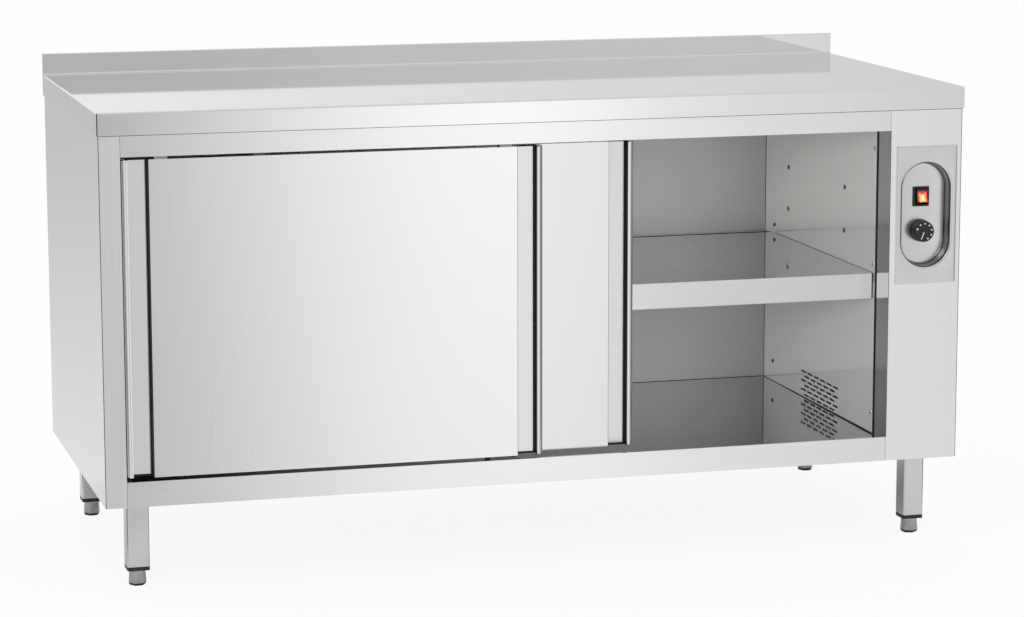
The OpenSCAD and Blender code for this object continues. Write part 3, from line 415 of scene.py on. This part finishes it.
CX = sum(c[0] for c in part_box("control_plate")) / 2 / MM
PLATE_LOW, PLATE_HIGH = (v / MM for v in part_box("control_plate"))
PLATE_Z = (PLATE_LOW.z + PLATE_HIGH.z) / 2
PLATE_Y = PLATE_LOW.y
PILL_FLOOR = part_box("rocker_housing")[0].y / MM + 3.0
SWITCH_Z = sum(c[2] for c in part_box("rocker")) / 2 / MM
KNOB_Z = sum(c[2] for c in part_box("thermostat_knob")) / 2 / MM
PILL_W, PILL_H = 94, 193
PLATE_SHEET = 0.9
# Height of the plate's two screws above and below its middle
PLATE_SCREW_RISE = 117.5


def control_panel():
    """Stamped plate with a rolled lip and a filleted floor, and the deep wall of its recess."""
    bm = bmesh.new()
    w, h = PLATE_HIGH.x - PLATE_LOW.x, PLATE_HIGH.z - PLATE_LOW.z
    border = loft(bm, [rect(w, h, PLATE_Y + 1.1, CX, PLATE_Z, 2.0),
                       rect(w - 1.2, h - 1.2, PLATE_Y + 0.7, CX, PLATE_Z, 2.0),
                       rect(w - 7.0, h - 7.0, PLATE_Y + 0.05, CX, PLATE_Z, 2.5),
                       rect(w - 9.0, h - 9.0, PLATE_Y, CX, PLATE_Z, 2.5)])
    deep = PILL_FLOOR - PLATE_Y
    # Outward offset of the pill, and its depth behind the plate's face
    lip = [(5.5, 0), (4.2, 0.12), (3.0, 0.5), (1.9, 1.2), (0.9, 2.4), (0.25, 4.0), (0, 6.0),
           (0, deep - 6), (-0.3, deep - 4), (-1.1, deep - 2.2), (-2.4, deep - 0.9), (-4.0, deep - 0.2),
           (-5.5, deep)]
    loops = [pill(PILL_W + 2 * o, PILL_H + 2 * o, PLATE_Y + d, CX, PLATE_Z) for o, d in lip]
    wall = loft(bm, loops[:4]) + loft(bm, loops[-2:])
    screws = [loose_loop(bm, ring(20, 2.3, PLATE_Y, CX, PLATE_Z + s * PLATE_SCREW_RISE)) for s in (-1, 1)]
    fill(bm, edges_of(border[-1]) + edges_of(wall[0]) + screws[0] + screws[1])
    holes = (loose_loop(bm, rect(28.4, 33.4, PILL_FLOOR, CX, SWITCH_Z, 0.5, 1))
             + loose_loop(bm, ring(24, 4.2, PILL_FLOOR, CX, KNOB_Z)))
    fill(bm, edges_of(wall[-1]) + holes)
    obj = piece("control_panel", bm, "cabinet", mats["plate"])
    thicken(obj, PLATE_SHEET)
    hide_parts("control_plate")
    # The deep wall takes the darker recess steel: painted shade
    deep_wall = bmesh.new()
    loft(deep_wall, loops[3:-1])
    thicken(piece("control_recess", deep_wall, "cabinet", mats["recess"]), PLATE_SHEET)


def switch():
    """Switch housing: a bezel with a rounded rim round a deep well for the rocker."""
    bm = bmesh.new()
    front = PILL_FLOOR - 3.0
    # Width, height, depth and corner radius, from the housing's back round the rim into the well
    loops = [(28, 33, PILL_FLOOR + 22, 0.8), (28, 33, PILL_FLOOR, 0.8), (32, 37, PILL_FLOOR, 1.2),
             (32, 37, PILL_FLOOR - 1.6, 1.2), (31.2, 36.2, PILL_FLOOR - 2.6, 1.0), (29.8, 34.8, front, 0.8),
             (24.4, 30.8, front, 0.5), (23.4, 29.8, front + 0.8, 0.4), (23.2, 29.6, front + 13, 0.4)]
    loft(bm, [rect(w, h, y, CX, SWITCH_Z, r) for w, h, y, r in loops], True, True)
    obj = piece("switch_bezel", bm, "cabinet", mats["black"])
    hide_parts("rocker_housing")


control_panel()
switch()


ROCKER_HALF = 12.5
ROCKER_FACE = -15.0
ROCKER_DISH = 3.0
ROCKER_LEAN = -10.0
ROCKER_AXLE_Y = -316.0
# Middle of the lens's glow below the switch's middle, and its half width and half height
GLOW_DROP, GLOW_HALF_W, GLOW_HALF_H = 2.0, 9.6, 11.5


def rocker_lens():
    """Lit red lens: a bright orange window that fades to red at its edges, moulded slightly uneven."""
    made, tree, shader = surface("lit_lens", Roughness=0.22, Coat_Weight=0.5, Coat_Roughness=0.05)
    place = add(tree, "ShaderNodeTexCoord").outputs["Object"]
    parts = add(tree, "ShaderNodeSeparateXYZ", {0: place})
    across = math_node(tree, "ABSOLUTE", math_node(tree, "SUBTRACT", parts.outputs[0], CX * MM))
    along = math_node(tree, "ABSOLUTE", math_node(tree, "SUBTRACT", parts.outputs[2],
                                                  (SWITCH_Z - GLOW_DROP) * MM))
    edge = math_node(tree, "MAXIMUM", math_node(tree, "DIVIDE", across, GLOW_HALF_W * MM),
                     math_node(tree, "DIVIDE", along, GLOW_HALF_H * MM))
    uneven = noise(tree, (260, 260, 260), 2.0, 0.5)
    level = math_node(tree, "ADD", edge, remap(tree, uneven, 0.3, 0.7, -0.12, 0.12))
    ramp = add(tree, "ShaderNodeValToRGB", {"Fac": level})
    middle, rim = ramp.color_ramp.elements
    middle.position, middle.color = 0.25, (1.0, 0.72, 0.30, 1)
    rim.position, rim.color = 0.95, (0.30, 0.015, 0.012, 1)
    between = ((0.50, (1.0, 0.36, 0.10, 1)), (0.68, (0.85, 0.10, 0.04, 1)), (0.82, (0.60, 0.03, 0.025, 1)))
    for at, colour in between:
        ramp.color_ramp.elements.new(at).color = colour
    tree.links.new(ramp.outputs[0], shader.inputs["Base Color"])
    tree.links.new(ramp.outputs[0], shader.inputs["Emission Color"])
    shader.inputs["Emission Strength"].default_value = 0.55
    return made


def rocker():
    """Black rocker body with its lens set in the face, leaning the way the CAD rocker leans."""
    lean = (Matrix.Translation((0, ROCKER_AXLE_Y, SWITCH_Z))
            @ Matrix.Rotation(math.radians(ROCKER_LEAN), 4, "X"))

    def section(inset, dip, back, under):
        """Side outline of the rocker, dished between its ends; its top end stays under by some more."""
        low, high = inset - ROCKER_HALF, ROCKER_HALF - inset - under
        ups = [low + (high - low) * i / 10 for i in range(11)]
        out = [(ROCKER_FACE + dip + ROCKER_DISH * (1 - (up / ROCKER_HALF) ** 2), up) for up in ups]
        return out + [(back, high - 0.8), (back, low + 0.8)]

    def leaning(across, back, under=0.0):
        """Lofts the section through places (x, inset, dip) from left to right, and leans the result."""
        bm = bmesh.new()
        loops = [[(CX + x, y, z) for y, z in section(inset, dip, back, under)] for x, inset, dip in across]
        loft(bm, loops, True, True)
        for v in bm.verts:
            v.co = lean @ v.co
        return bm

    bm = leaning([(-10.8, 1.0, 0.9), (-10.4, 0.3, 0.3), (-9.8, 0.0, 0.0),
                  (9.8, 0.0, 0.0), (10.4, 0.3, 0.3), (10.8, 1.0, 0.9)], 3.0)
    body = piece("rocker_body", bm, "rocker", mats["black"], sharp=50)
    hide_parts("rocker")
    bm = leaning([(-9.9, 1.0, 0.5), (-9.6, 0.6, -0.3), (-8.9, 0.4, -0.6),
                  (9.2, 0.4, -0.6), (9.8, 0.6, -0.3), (10.1, 1.0, 0.5)], -9.0, under=3.2)
    piece("rocker_lens", bm, "rocker", rocker_lens(), sharp=50)


rocker()


KNOB_TEETH = 40
KNOB_FACE = 21.0
MARK_COUNT, MARK_STEP, FIRST_MARK, MARK_RADIUS = 7, -37, 160, 14.8
POINTER_ANGLE, POINTER_TAIL, POINTER_TIP = -113, 1.0, 15.5


def knob():
    """Fluted knob with a dished face, marks round it and a pointer line."""
    base = PILL_FLOOR - 0.3

    def wave(a):
        return 1.0 - 0.014 * (0.5 + 0.5 * math.cos(KNOB_TEETH * a)) ** 3

    bm = bmesh.new()
    # Radius, and height above the recess's floor
    plain = [(3.2, 0.2), (20.0, 0.2), (20.7, 0.8), (20.8, 3.4), (20.3, 4.4), (20.1, 4.8)]
    fluted = [(20.0, 5.4), (19.6, 18.8)]
    top = [(19.4, 19.8), (18.8, 20.9), (17.8, 21.5), (17.1, 21.4), (10.0, KNOB_FACE), (0.4, KNOB_FACE - 0.1)]
    n = KNOB_TEETH * 6
    loops = [ring(n, r, base - d, CX, KNOB_Z) for r, d in plain]
    loops += [ring(n, r, base - d, CX, KNOB_Z, wave) for r, d in fluted]
    loops += [ring(n, r, base - d, CX, KNOB_Z) for r, d in top]
    loft(bm, loops, True, True)
    obj = piece("knob_body", bm, "knob", mats["black"])
    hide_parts("thermostat_knob")

    bm = bmesh.new()
    face = base - KNOB_FACE
    for k in range(MARK_COUNT):
        a = math.radians(FIRST_MARK + MARK_STEP * k)
        x, z = CX + MARK_RADIUS * math.cos(a), KNOB_Z + MARK_RADIUS * math.sin(a)
        r = 1.75 if k == 0 else 1.45
        dome = [(r, 0), (r, 0.42), (r * 0.7, 0.55), (0.1, 0.6)]
        loft(bm, [ring(14, q, face - d, x, z) for q, d in dome], True, True)
    a = math.radians(POINTER_ANGLE)
    side = Vector((-math.sin(a), 0, math.cos(a)))
    along = Vector((math.cos(a), 0, math.sin(a)))
    middle = Vector((CX, face, KNOB_Z))
    tip, tail = POINTER_TIP, POINTER_TAIL
    loops = []
    for half, d in ((0.75, -0.1), (0.75, 0.3), (0.5, 0.45)):
        corners = [(tail, -half), (tip - 0.6, -half), (tip, -half * 0.4), (tip, half * 0.4),
                   (tip - 0.6, half), (tail, half)]
        loops.append([middle + along * u + side * v - Vector((0, d, 0)) for u, v in corners])
    loft(bm, loops, True, True)
    piece("knob_marks", bm, "knob", mats["white"], sharp=50)


knob()


# ---------- Door edges ----------

def clip(outline, limit, below):
    """The part of a closed outline whose second coordinate is below the limit, or above it."""
    kept = []
    for a, b in zip(outline, outline[1:] + outline[:1]):
        if (a[1] < limit) == below:
            kept.append(a)
        if (a[1] < limit) != (b[1] < limit):
            kept.append((a[0] + (b[0] - a[0]) * (limit - a[1]) / (b[1] - a[1]), limit))
    return kept


def extrude_up(bm, outline, low, high, bottom=0.0, top=0.0):
    """Upright bar of one closed outline; an end with a size is drawn in a little."""
    mid = Vector((sum(p[0] for p in outline), sum(p[1] for p in outline))) / len(outline)

    def level(z, inset):
        out = []
        for x, y in outline:
            away = Vector((x, y)) - mid
            out.append((*(mid + away * (1 - inset / away.length)), z))
        return out

    drawn, plain = [(0.0, 1.0), (0.15, 0.6), (0.45, 0.2), (1.0, 0.0), (1.6, 0.0)], [(0.0, 0.0)]
    loops = [level(low + bottom * up, bottom * inset) for up, inset in (drawn if bottom else plain)]
    loops += [level(high - top * up, top * inset) for up, inset in reversed(drawn if top else plain)]
    loft(bm, loops, True, True)


NOSE_RADIUS = 9.0
GRIP_OUTER, GRIP_LIP, GRIP_INNER, GRIP_BACK = 1.5, 13.2, 12.05, 19.2
# The groove in the door's bottom that the guide's fin runs in: its height, front and back
GROOVE_H, GROOVE_FRONT, GROOVE_BACK = 12.0, 7.0, 13.0
STRIP_END, STRIP_FLOOR, STRIP_BACK = 46.5, 15.9, 16.7
# Where the strip starts beside the bar on the door's left and right
STRIP_START = {-1: 13.6, 1: 17.0}


def door_edges(door):
    """Grip bars with a rolled nose and a lip over the finger channel, and the strips in the channels.

    Outlines are (distance from the door's outer edge, depth behind its face).
    """
    grips, strips = door + "_grips", door + "_strips"
    low, high = (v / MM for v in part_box(grips))
    strip_low, strip_high = (v.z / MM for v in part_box(strips))
    groove_top = low.z + GROOVE_H
    turns = [math.radians(a) for a in range(0, 91, 6)]
    nose = [(GRIP_OUTER + NOSE_RADIUS * (1 - math.cos(a)), 9.2 - NOSE_RADIUS * math.sin(a)) for a in turns]
    lip = [(13.0, 0.35), (GRIP_LIP, 0.6), (GRIP_LIP, 2.2), (GRIP_INNER, 2.3)]
    bar = [(GRIP_OUTER, GRIP_BACK)] + nose + lip + [(GRIP_INNER, GRIP_BACK)]
    bars, trays = bmesh.new(), bmesh.new()
    for side in (-1, 1):
        edge = low.x if side < 0 else high.x
        near = STRIP_START[side]
        tray = [(near, STRIP_BACK), (near, STRIP_FLOOR), (44.9, STRIP_FLOOR), (45.3, 15.5), (45.9, 15.1),
                (STRIP_END, 15.4), (STRIP_END, STRIP_BACK)]

        def placed(outline):
            return [(edge - side * u, low.y + v) for u, v in outline]

        for outline in (clip(bar, GROOVE_FRONT, True), clip(bar, GROOVE_BACK, False)):
            extrude_up(bars, placed(outline), low.z + 0.2, groove_top, bottom=1.2)
        extrude_up(bars, placed(bar), groove_top, high.z - 0.2, top=1.5)
        extrude_up(trays, placed(tray), strip_low, strip_high)
    obj = piece(door + "_grip_bars", bars, door, mats["grip"], sharp=40)
    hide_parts(grips)
    # The rear door's strips take the darker copy: painted shade
    strip_steel = mats["strip" if door == "front_door" else "rear_strip_painted_shade"]
    obj = piece(door + "_finger_strips", trays, door, strip_steel, sharp=40)
    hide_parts(strips)


for door_name in ("front_door", "rear_door"):
    door_edges(door_name)


# ---------- Painted shade in gaps ---

def bar_between(bm, a, b, half_a, half_b=None):
    """Thin six-sided bar from a to b, with its own half width at each end."""
    a, b = Vector(a), Vector(b)
    half_b = half_b or half_a
    turn = (b - a).to_track_quat("Z", "Y").to_matrix()
    loops = [[p + turn @ Vector((h * math.cos(math.radians(60 * i)), h * math.sin(math.radians(60 * i)), 0))
              for i in range(6)] for p, h in ((a, half_a), (b, half_b))]
    loft(bm, loops, True, True)


def chamber_gap_shade():
    """Dark beads that paint the shade in the gaps along the chamber's corners; the one under the right wall
    widens to the front.
    """
    wall_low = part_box("right_liner")[0] / MM
    wall_x, wall_front = wall_low.x, wall_low.y
    left_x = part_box("left_liner")[1].x / MM
    back_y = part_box("back_liner")[0].y / MM
    floor_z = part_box("floor_pan")[1].z / MM
    top_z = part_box("ceiling_liner")[0].z / MM
    bm = bmesh.new()
    for x in (wall_x, left_x):
        bar_between(bm, (x, back_y, floor_z), (x, back_y, top_z), 0.8)
    bar_between(bm, (left_x, back_y, floor_z), (wall_x, back_y, floor_z), 0.9)
    bar_between(bm, (wall_x, back_y, floor_z), (wall_x, wall_front + 2, floor_z), 0.8, 2.6)
    gap_x, gap_y = wall_x + 1.6, wall_front - 2.6
    bar_between(bm, (gap_x, gap_y, floor_z), (gap_x, gap_y, top_z), 2.5)
    piece("chamber_gap_shade", bm, "cabinet", mats["rubber"])


def shelf_gap_shade():
    """Thin dark bar along the shelf's rear edge: painted shade of the gap behind the shelf."""
    low, high = (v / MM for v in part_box("shelf"))
    shade_line_y = high.y - 0.9
    bm = bmesh.new()
    bar_between(bm, (low.x + 4, shade_line_y, high.z), (high.x - 4, shade_line_y, high.z), 0.85)
    piece("shelf_rear_gap_shade", bm, "shelf", mats["rubber"])


def front_gap_shade():
    """Dark beads that paint the shade in the gaps down both front corners, under the worktop's edge, and
    beside the column.
    """
    post_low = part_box("left_post")[0] / MM
    rail_low, rail_high = (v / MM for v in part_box("header_rail"))
    face_y, side_x, corner_low = post_low.y, post_low.x, post_low.z + 1
    sill_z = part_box("sill_rail")[1].z / MM
    column_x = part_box("right_column")[0].x / MM + 0.6
    under_y, under_z = face_y - 0.2, rail_high.z - 0.7
    bm = bmesh.new()
    for x, half in ((side_x + 0.7, 0.6), (-side_x - 0.7, 0.5)):
        bar_between(bm, (x, face_y, corner_low), (x, face_y, rail_high.z - 1), half)
    bar_between(bm, (side_x + 0.7, under_y, under_z), (-side_x - 1, under_y, under_z), 0.7)
    bar_between(bm, (column_x, face_y, sill_z), (column_x, face_y, rail_low.z), 0.5)
    piece("front_gap_shade", bm, "cabinet", mats["rubber"])


chamber_gap_shade()
shelf_gap_shade()
front_gap_shade()


# ---------- Screws ----------

# Where the liner screws stand, as in the CAD: depth in the cabinet, and height
LINER_SCREW_DEPTHS = (-269, 269)
LINER_SCREW_HEIGHTS = (233, 513, 731)


def cut_slot(bm_head, width, depth_low, depth_high):
    """Takes a straight slot out of a screw head with an exact boolean, and returns the new bmesh."""
    head, cutter = bpy.data.meshes.new("head"), bpy.data.meshes.new("cutter")
    bm_head.to_mesh(head)
    bm_head.free()
    bm = bmesh.new()
    bmesh.ops.create_cube(bm, size=1.0, matrix=Matrix.Translation((0, 0, (depth_low + depth_high) / 2))
                          @ Matrix.Diagonal((12, width, depth_high - depth_low, 1)))
    bm.to_mesh(cutter)
    bm.free()
    a, b = bpy.data.objects.new("head", head), bpy.data.objects.new("cutter", cutter)
    for o in (a, b):
        bpy.context.scene.collection.objects.link(o)
    m = a.modifiers.new("slot", "BOOLEAN")
    m.operation, m.object, m.solver = "DIFFERENCE", b, "EXACT"
    bpy.context.view_layer.update()
    done = a.evaluated_get(bpy.context.evaluated_depsgraph_get()).to_mesh()
    out = bmesh.new()
    out.from_mesh(done)
    for o in (a, b):
        bpy.data.objects.remove(o)
    return out


def screw_heads():
    """Slotted pan heads on the control plate and the chamber walls, each turned its own way.

    Those at the back of the chamber are drawn dark: painted shade.
    """
    # Radius, and height above the sheet
    profile = [(1.95, -6.0), (1.95, 0.0), (4.0, 0.0), (4.0, 0.55), (3.75, 1.15), (3.1, 1.75), (2.0, 2.1),
               (0.9, 2.2), (0.05, 2.2)]
    head = bmesh.new()
    loft(head, [[(r * math.cos(2 * math.pi * i / 32), r * math.sin(2 * math.pi * i / 32), z)
                 for i in range(32)] for r, z in profile], True, True)
    bmesh.ops.recalc_face_normals(head, faces=head.faces)
    head = cut_slot(head, 0.95, 1.05, 3.0)
    mesh = bpy.data.meshes.new("one_head")
    head.to_mesh(mesh)
    head.free()
    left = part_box("left_liner")[1].x / MM
    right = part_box("right_liner")[0].x / MM
    # Place, direction that the head faces, and turn of its slot
    places = [(Vector((CX, PLATE_Y, PLATE_Z + s * PLATE_SCREW_RISE)), Vector((0, -1, 0)), 35 + 20 * s)
              for s in (-1, 1)]
    for i, y in enumerate(LINER_SCREW_DEPTHS):
        for k, z in enumerate(LINER_SCREW_HEIGHTS):
            places.append((Vector((left, y, z)), Vector((1, 0, 0)), 40 * i + 67 * k))
            places.append((Vector((right, y, z)), Vector((-1, 0, 0)), 15 + 52 * i + 38 * k))
    bright, dark = bmesh.new(), bmesh.new()
    for at, out, turn in places:
        # Heads at the back of the chamber go in the dark copy: painted shade
        into = dark if at.y > 0 else bright
        before = len(into.verts)
        into.from_mesh(mesh)
        into.verts.ensure_lookup_table()
        move = (Matrix.Translation(at) @ out.to_track_quat("Z", "Y").to_matrix().to_4x4()
                @ Matrix.Rotation(math.radians(turn), 4, "Z"))
        for v in into.verts[before:]:
            v.co = move @ v.co
    piece("shaded_rear_screw_heads", dark, "cabinet", mats["dark_steel"])
    obj = piece("screw_heads", bright, "cabinet", mats["bright"])
    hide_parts("panel_screws")


screw_heads()


# ---------- Feet ----------

def foot(name, turn):
    """Levelling foot: sleeve pressed from round to six flats at its foot, stem, and rubber pad."""
    low, high = (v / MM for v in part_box(name))
    cx, cy = (low.x + high.x) / 2, (low.y + high.y) / 2

    def loop(z, r, flat, n=72):
        """Circle of radius r drawn in towards a hexagon by the share flat."""
        out = []
        for i in range(n):
            a = 2 * math.pi * i / n
            part = (a % (math.pi / 3)) - math.pi / 6
            hexagon = r * math.cos(math.pi / 6) / math.cos(part)
            q = r + (hexagon - r) * flat
            b = a + math.radians(turn)
            out.append((cx + q * math.cos(b), cy + q * math.sin(b), z))
        return out

    # Height, radius, and share of the hexagon
    sleeve = [(4.4, 14.0, 1), (4.4, 15.8, 1), (5.0, 16.0, 1), (9.0, 15.9, 0.92), (14.0, 15.6, 0.70),
              (19.0, 15.2, 0.42), (24.0, 14.8, 0.15), (27.2, 14.5, 0.0), (28.3, 14.1, 0.0),
              (28.7, 13.2, 0.0), (28.7, 5.0, 0.0), (58.0, 5.0, 0.0)]
    pad = [(0.0, 13.2, 0.8), (0.5, 14.2, 0.9), (2.2, 15.3, 1), (4.0, 15.7, 1), (4.4, 15.2, 1), (4.9, 13.0, 1)]
    bm = bmesh.new()
    loft(bm, [loop(*row) for row in sleeve], True, True)
    obj = piece(name + "_sleeve", bm, name, mats["foot"], sharp=24)
    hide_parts(name)
    bm = bmesh.new()
    loft(bm, [loop(*row) for row in pad], True, True)
    piece(name + "_pad", bm, name, mats["rubber"], sharp=24)


for foot_name, foot_turn in (("front_left_foot", 5.0), ("front_right_foot", -22.0),
                             ("rear_left_foot", 12.0), ("rear_right_foot", 0.0)):
    foot(foot_name, foot_turn)


# ---------- Softened edges on carried-over nodes ----------

for name, width in (("leg_plugs", 0.5), ("left_post", 0.6), ("right_column", 0.6), ("bottom_guide", 0.6)):
    soft = NODES[name].modifiers.new("soft_edges", "BEVEL")
    soft.width, soft.segments, soft.limit_method = width * MM, 2, "ANGLE"
    soft.angle_limit = math.radians(40)


# ---------- Floor ----------

def stage_sheet(name, bm, shade):
    """A sheet of the set, with the shader that shade builds in an empty tree."""
    mesh = bpy.data.meshes.new(name)
    bm.to_mesh(mesh)
    bm.free()
    obj = bpy.data.objects.new(name, mesh)
    bpy.context.scene.collection.objects.link(obj)
    made = bpy.data.materials.new(name + "_white")
    made.use_nodes = True
    tree = made.node_tree
    tree.nodes.clear()
    out = add(tree, "ShaderNodeOutputMaterial")
    tree.links.new(shade(tree).outputs[0], out.inputs[0])
    obj.data.materials.append(made)
    return obj


def floor():
    """Pale floor: plain white to the camera but for the object's soft shadow."""
    bm = bmesh.new()
    bmesh.ops.create_grid(bm, x_segments=8, y_segments=8, size=40.0)

    def shade(tree):
        lit = add(tree, "ShaderNodeBsdfDiffuse", {"Color": (0.98, 0.98, 0.98, 1)})
        glow = add(tree, "ShaderNodeEmission", {"Color": (1, 1, 1, 1), "Strength": 1.0})
        seen = add(tree, "ShaderNodeLightPath").outputs["Is Camera Ray"]
        share = math_node(tree, "MULTIPLY", seen, 0.90)
        return add(tree, "ShaderNodeMixShader", {0: share, 1: lit.outputs[0], 2: glow.outputs[0]})

    obj = stage_sheet("stage_floor", bm, shade)
    obj.visible_glossy = False


def shaded_patch():
    """What polished legs and feet see of the floor round and under the cabinet."""
    left, right, front, back, height = -1.0, 1.0, -0.7, 0.55, 0.0002
    bm = bmesh.new()
    corners_xy = ((left, front), (right, front), (right, back), (left, back))
    bm.faces.new([bm.verts.new((x, y, height)) for x, y in corners_xy])

    def shade(tree):
        return add(tree, "ShaderNodeBsdfDiffuse", {"Color": (0.92, 0.92, 0.92, 1)})

    obj = stage_sheet("stage_patch", bm, shade)
    obj.visible_camera = obj.visible_diffuse = obj.visible_shadow = False


floor()
shaded_patch()


# ---------- Light ----------

def studio():
    """White studio: what metal reflects depends only on the direction, as in a tent of soft panels.

    Diffuse rays see a plain pale tent, the camera sees white.
    """
    world = bpy.data.worlds.new("studio")
    bpy.context.scene.world = world
    world.use_nodes = True
    tree = world.node_tree
    tree.nodes.clear()
    way = add(tree, "ShaderNodeSeparateXYZ", {0: add(tree, "ShaderNodeTexCoord").outputs["Generated"]})
    x, y, z = way.outputs
    turn = math_node(tree, "ARCTAN2", x, math_node(tree, "MULTIPLY", y, -1.0))
    place = remap(tree, turn, -math.pi, math.pi, 0.0, 1.0)
    # Ramps hold levels up to 1, so they are divided by this and the background is this strong
    top = 2.0

    def band(stops):
        """Brightness round the horizon: (degrees from straight in front towards the right, level)."""
        ramp = add(tree, "ShaderNodeValToRGB", {"Fac": place})
        ramp.color_ramp.interpolation = "EASE"
        e = ramp.color_ramp.elements
        while len(e) > 1:
            e.remove(e[-1])
        for k, (angle, level) in enumerate(stops):
            stop = e[0] if k == 0 else e.new((angle + 180) / 360)
            stop.position = (angle + 180) / 360
            stop.color = (level / top, level / top, level / top, 1)
        return ramp.outputs[0]

    left_side = [(-160, 0.72), (-135, 0.60), (-115, 0.22), (-68, 0.20), (-45, 0.72), (-24, 0.88),
                 (-14, 0.90), (-4, 0.70), (4, 0.50)]
    right_side = [(38, 0.72), (55, 0.42), (75, 0.20), (108, 0.20), (130, 0.52)]
    middle = band([(-180, 0.66), (-172, 0.58)] + left_side
                  + [(8.4, 0.58), (9.95, 0.74), (11.7, 0.94), (13.4, 1.13), (15.2, 1.21), (16.9, 1.12),
                     (18.7, 0.93), (20.4, 0.85), (22, 0.81), (23.4, 0.75)]
                  + right_side + [(150, 0.62), (180, 0.66)])
    low = band([(-180, 0.84), (-172, 0.88)] + left_side
               + [(8.4, 0.57), (9.95, 0.67), (11.7, 0.85), (13.4, 1.00), (15.2, 1.05), (16.9, 1.00),
                  (18.7, 0.90), (20.4, 0.82), (23, 0.77)]
               + right_side + [(160, 0.84), (180, 0.84)])
    high = band([(-180, 0.94), (-120, 0.80), (-70, 0.60), (-40, 0.62), (-5, 0.56), (4, 0.56), (8, 0.60),
                 (13.5, 0.68), (18.6, 0.72), (30, 0.80), (90, 0.80), (140, 0.66), (157, 0.68), (163, 0.75),
                 (167, 0.82), (173, 0.90), (180, 0.94)])
    down = remap(tree, z, -0.12, -0.225, 0.0, 1.0)
    up = remap(tree, z, -0.08, 0.05, 0.0, 1.0)

    def mix(factor, a, b):
        m = add(tree, "ShaderNodeMix", {"Factor": factor}, data_type="RGBA")
        tree.links.new(a, m.inputs[6])
        tree.links.new(b, m.inputs[7])
        return m.outputs[2]

    def grey(level):
        node = add(tree, "ShaderNodeRGB")
        node.outputs[0].default_value = (level, level, level, 1)
        return node.outputs[0]

    round_about = mix(up, mix(down, middle, low), high)
    steep = remap(tree, math_node(tree, "ABSOLUTE", z), 0.35, 0.8, 0.0, 1.0)
    all_round = mix(steep, round_about, grey(0.40))
    floor_ahead = math_node(tree, "MULTIPLY", remap(tree, z, -0.24, -0.50, 0.0, 1.0),
                            remap(tree, y, 0.2, -0.4, 0.0, 1.0))
    seen_in_metal = add(tree, "ShaderNodeBackground",
                        {"Color": mix(floor_ahead, all_round, grey(0.42)), "Strength": top})
    plain = add(tree, "ShaderNodeBackground", {"Color": (0.86, 0.86, 0.86, 1), "Strength": 1.0})
    white = add(tree, "ShaderNodeBackground", {"Color": (1, 1, 1, 1), "Strength": 1.0})
    path = add(tree, "ShaderNodeLightPath")
    lit = add(tree, "ShaderNodeMixShader", {0: path.outputs["Is Glossy Ray"], 1: plain.outputs[0],
                                            2: seen_in_metal.outputs[0]})
    clear = math_node(tree, "MAXIMUM", path.outputs["Is Camera Ray"], path.outputs["Is Transmission Ray"])
    final = add(tree, "ShaderNodeMixShader", {0: clear, 1: lit.outputs[0], 2: white.outputs[0]})
    out = add(tree, "ShaderNodeOutputWorld")
    tree.links.new(final.outputs[0], out.inputs[0])
    world.cycles.sampling_method = "NONE"


def soft_lamp(name, at, aim, size, watts, only=()):
    """A round soft panel; with only, it lights just those nodes, and metal doesn't mirror it."""
    data = bpy.data.lights.new(name, "AREA")
    data.shape, data.size, data.energy = "DISK", size, watts
    lamp = bpy.data.objects.new(name, data)
    bpy.context.scene.collection.objects.link(lamp)
    lamp.matrix_world = (Matrix.Translation(at)
                         @ (Vector(at) - Vector(aim)).to_track_quat("Z", "Y").to_matrix().to_4x4())
    lamp.visible_camera = False
    if only:
        lit = bpy.data.collections.new(name + "_lights")
        for node_name in only:
            lit.objects.link(NODES[node_name])
        lamp.light_linking.receiver_collection = lit
        lamp.visible_glossy = False


studio()
soft_lamp("key_panel", (-3.2, -5.0, 4.2), (0.1, 0.0, 0.4), 3.0, 70.0)
soft_lamp("chamber_panel", (0.9, -4.9, 1.2), (0.3, 0.0, 0.5), 2.4, 165.0,
          ["left_liner", "back_liner", "ceiling_liner"])
soft_lamp("wall_panel", (-1.6, -5.2, 1.3), (0.65, 0.1, 0.45), 2.4, 1500.0, ["right_liner"])
soft_lamp("fill_panel", (4.4, -4.6, 1.9), (0.1, 0.3, 0.4), 2.4, 800.0,
          ["left_liner", "back_liner", "ceiling_liner", "floor_pan"])

bpy.context.scene.view_settings.view_transform = "Standard"


# ---------- Size ----------

def corners(box):
    return [[float(c) for c in corner] for corner in box]
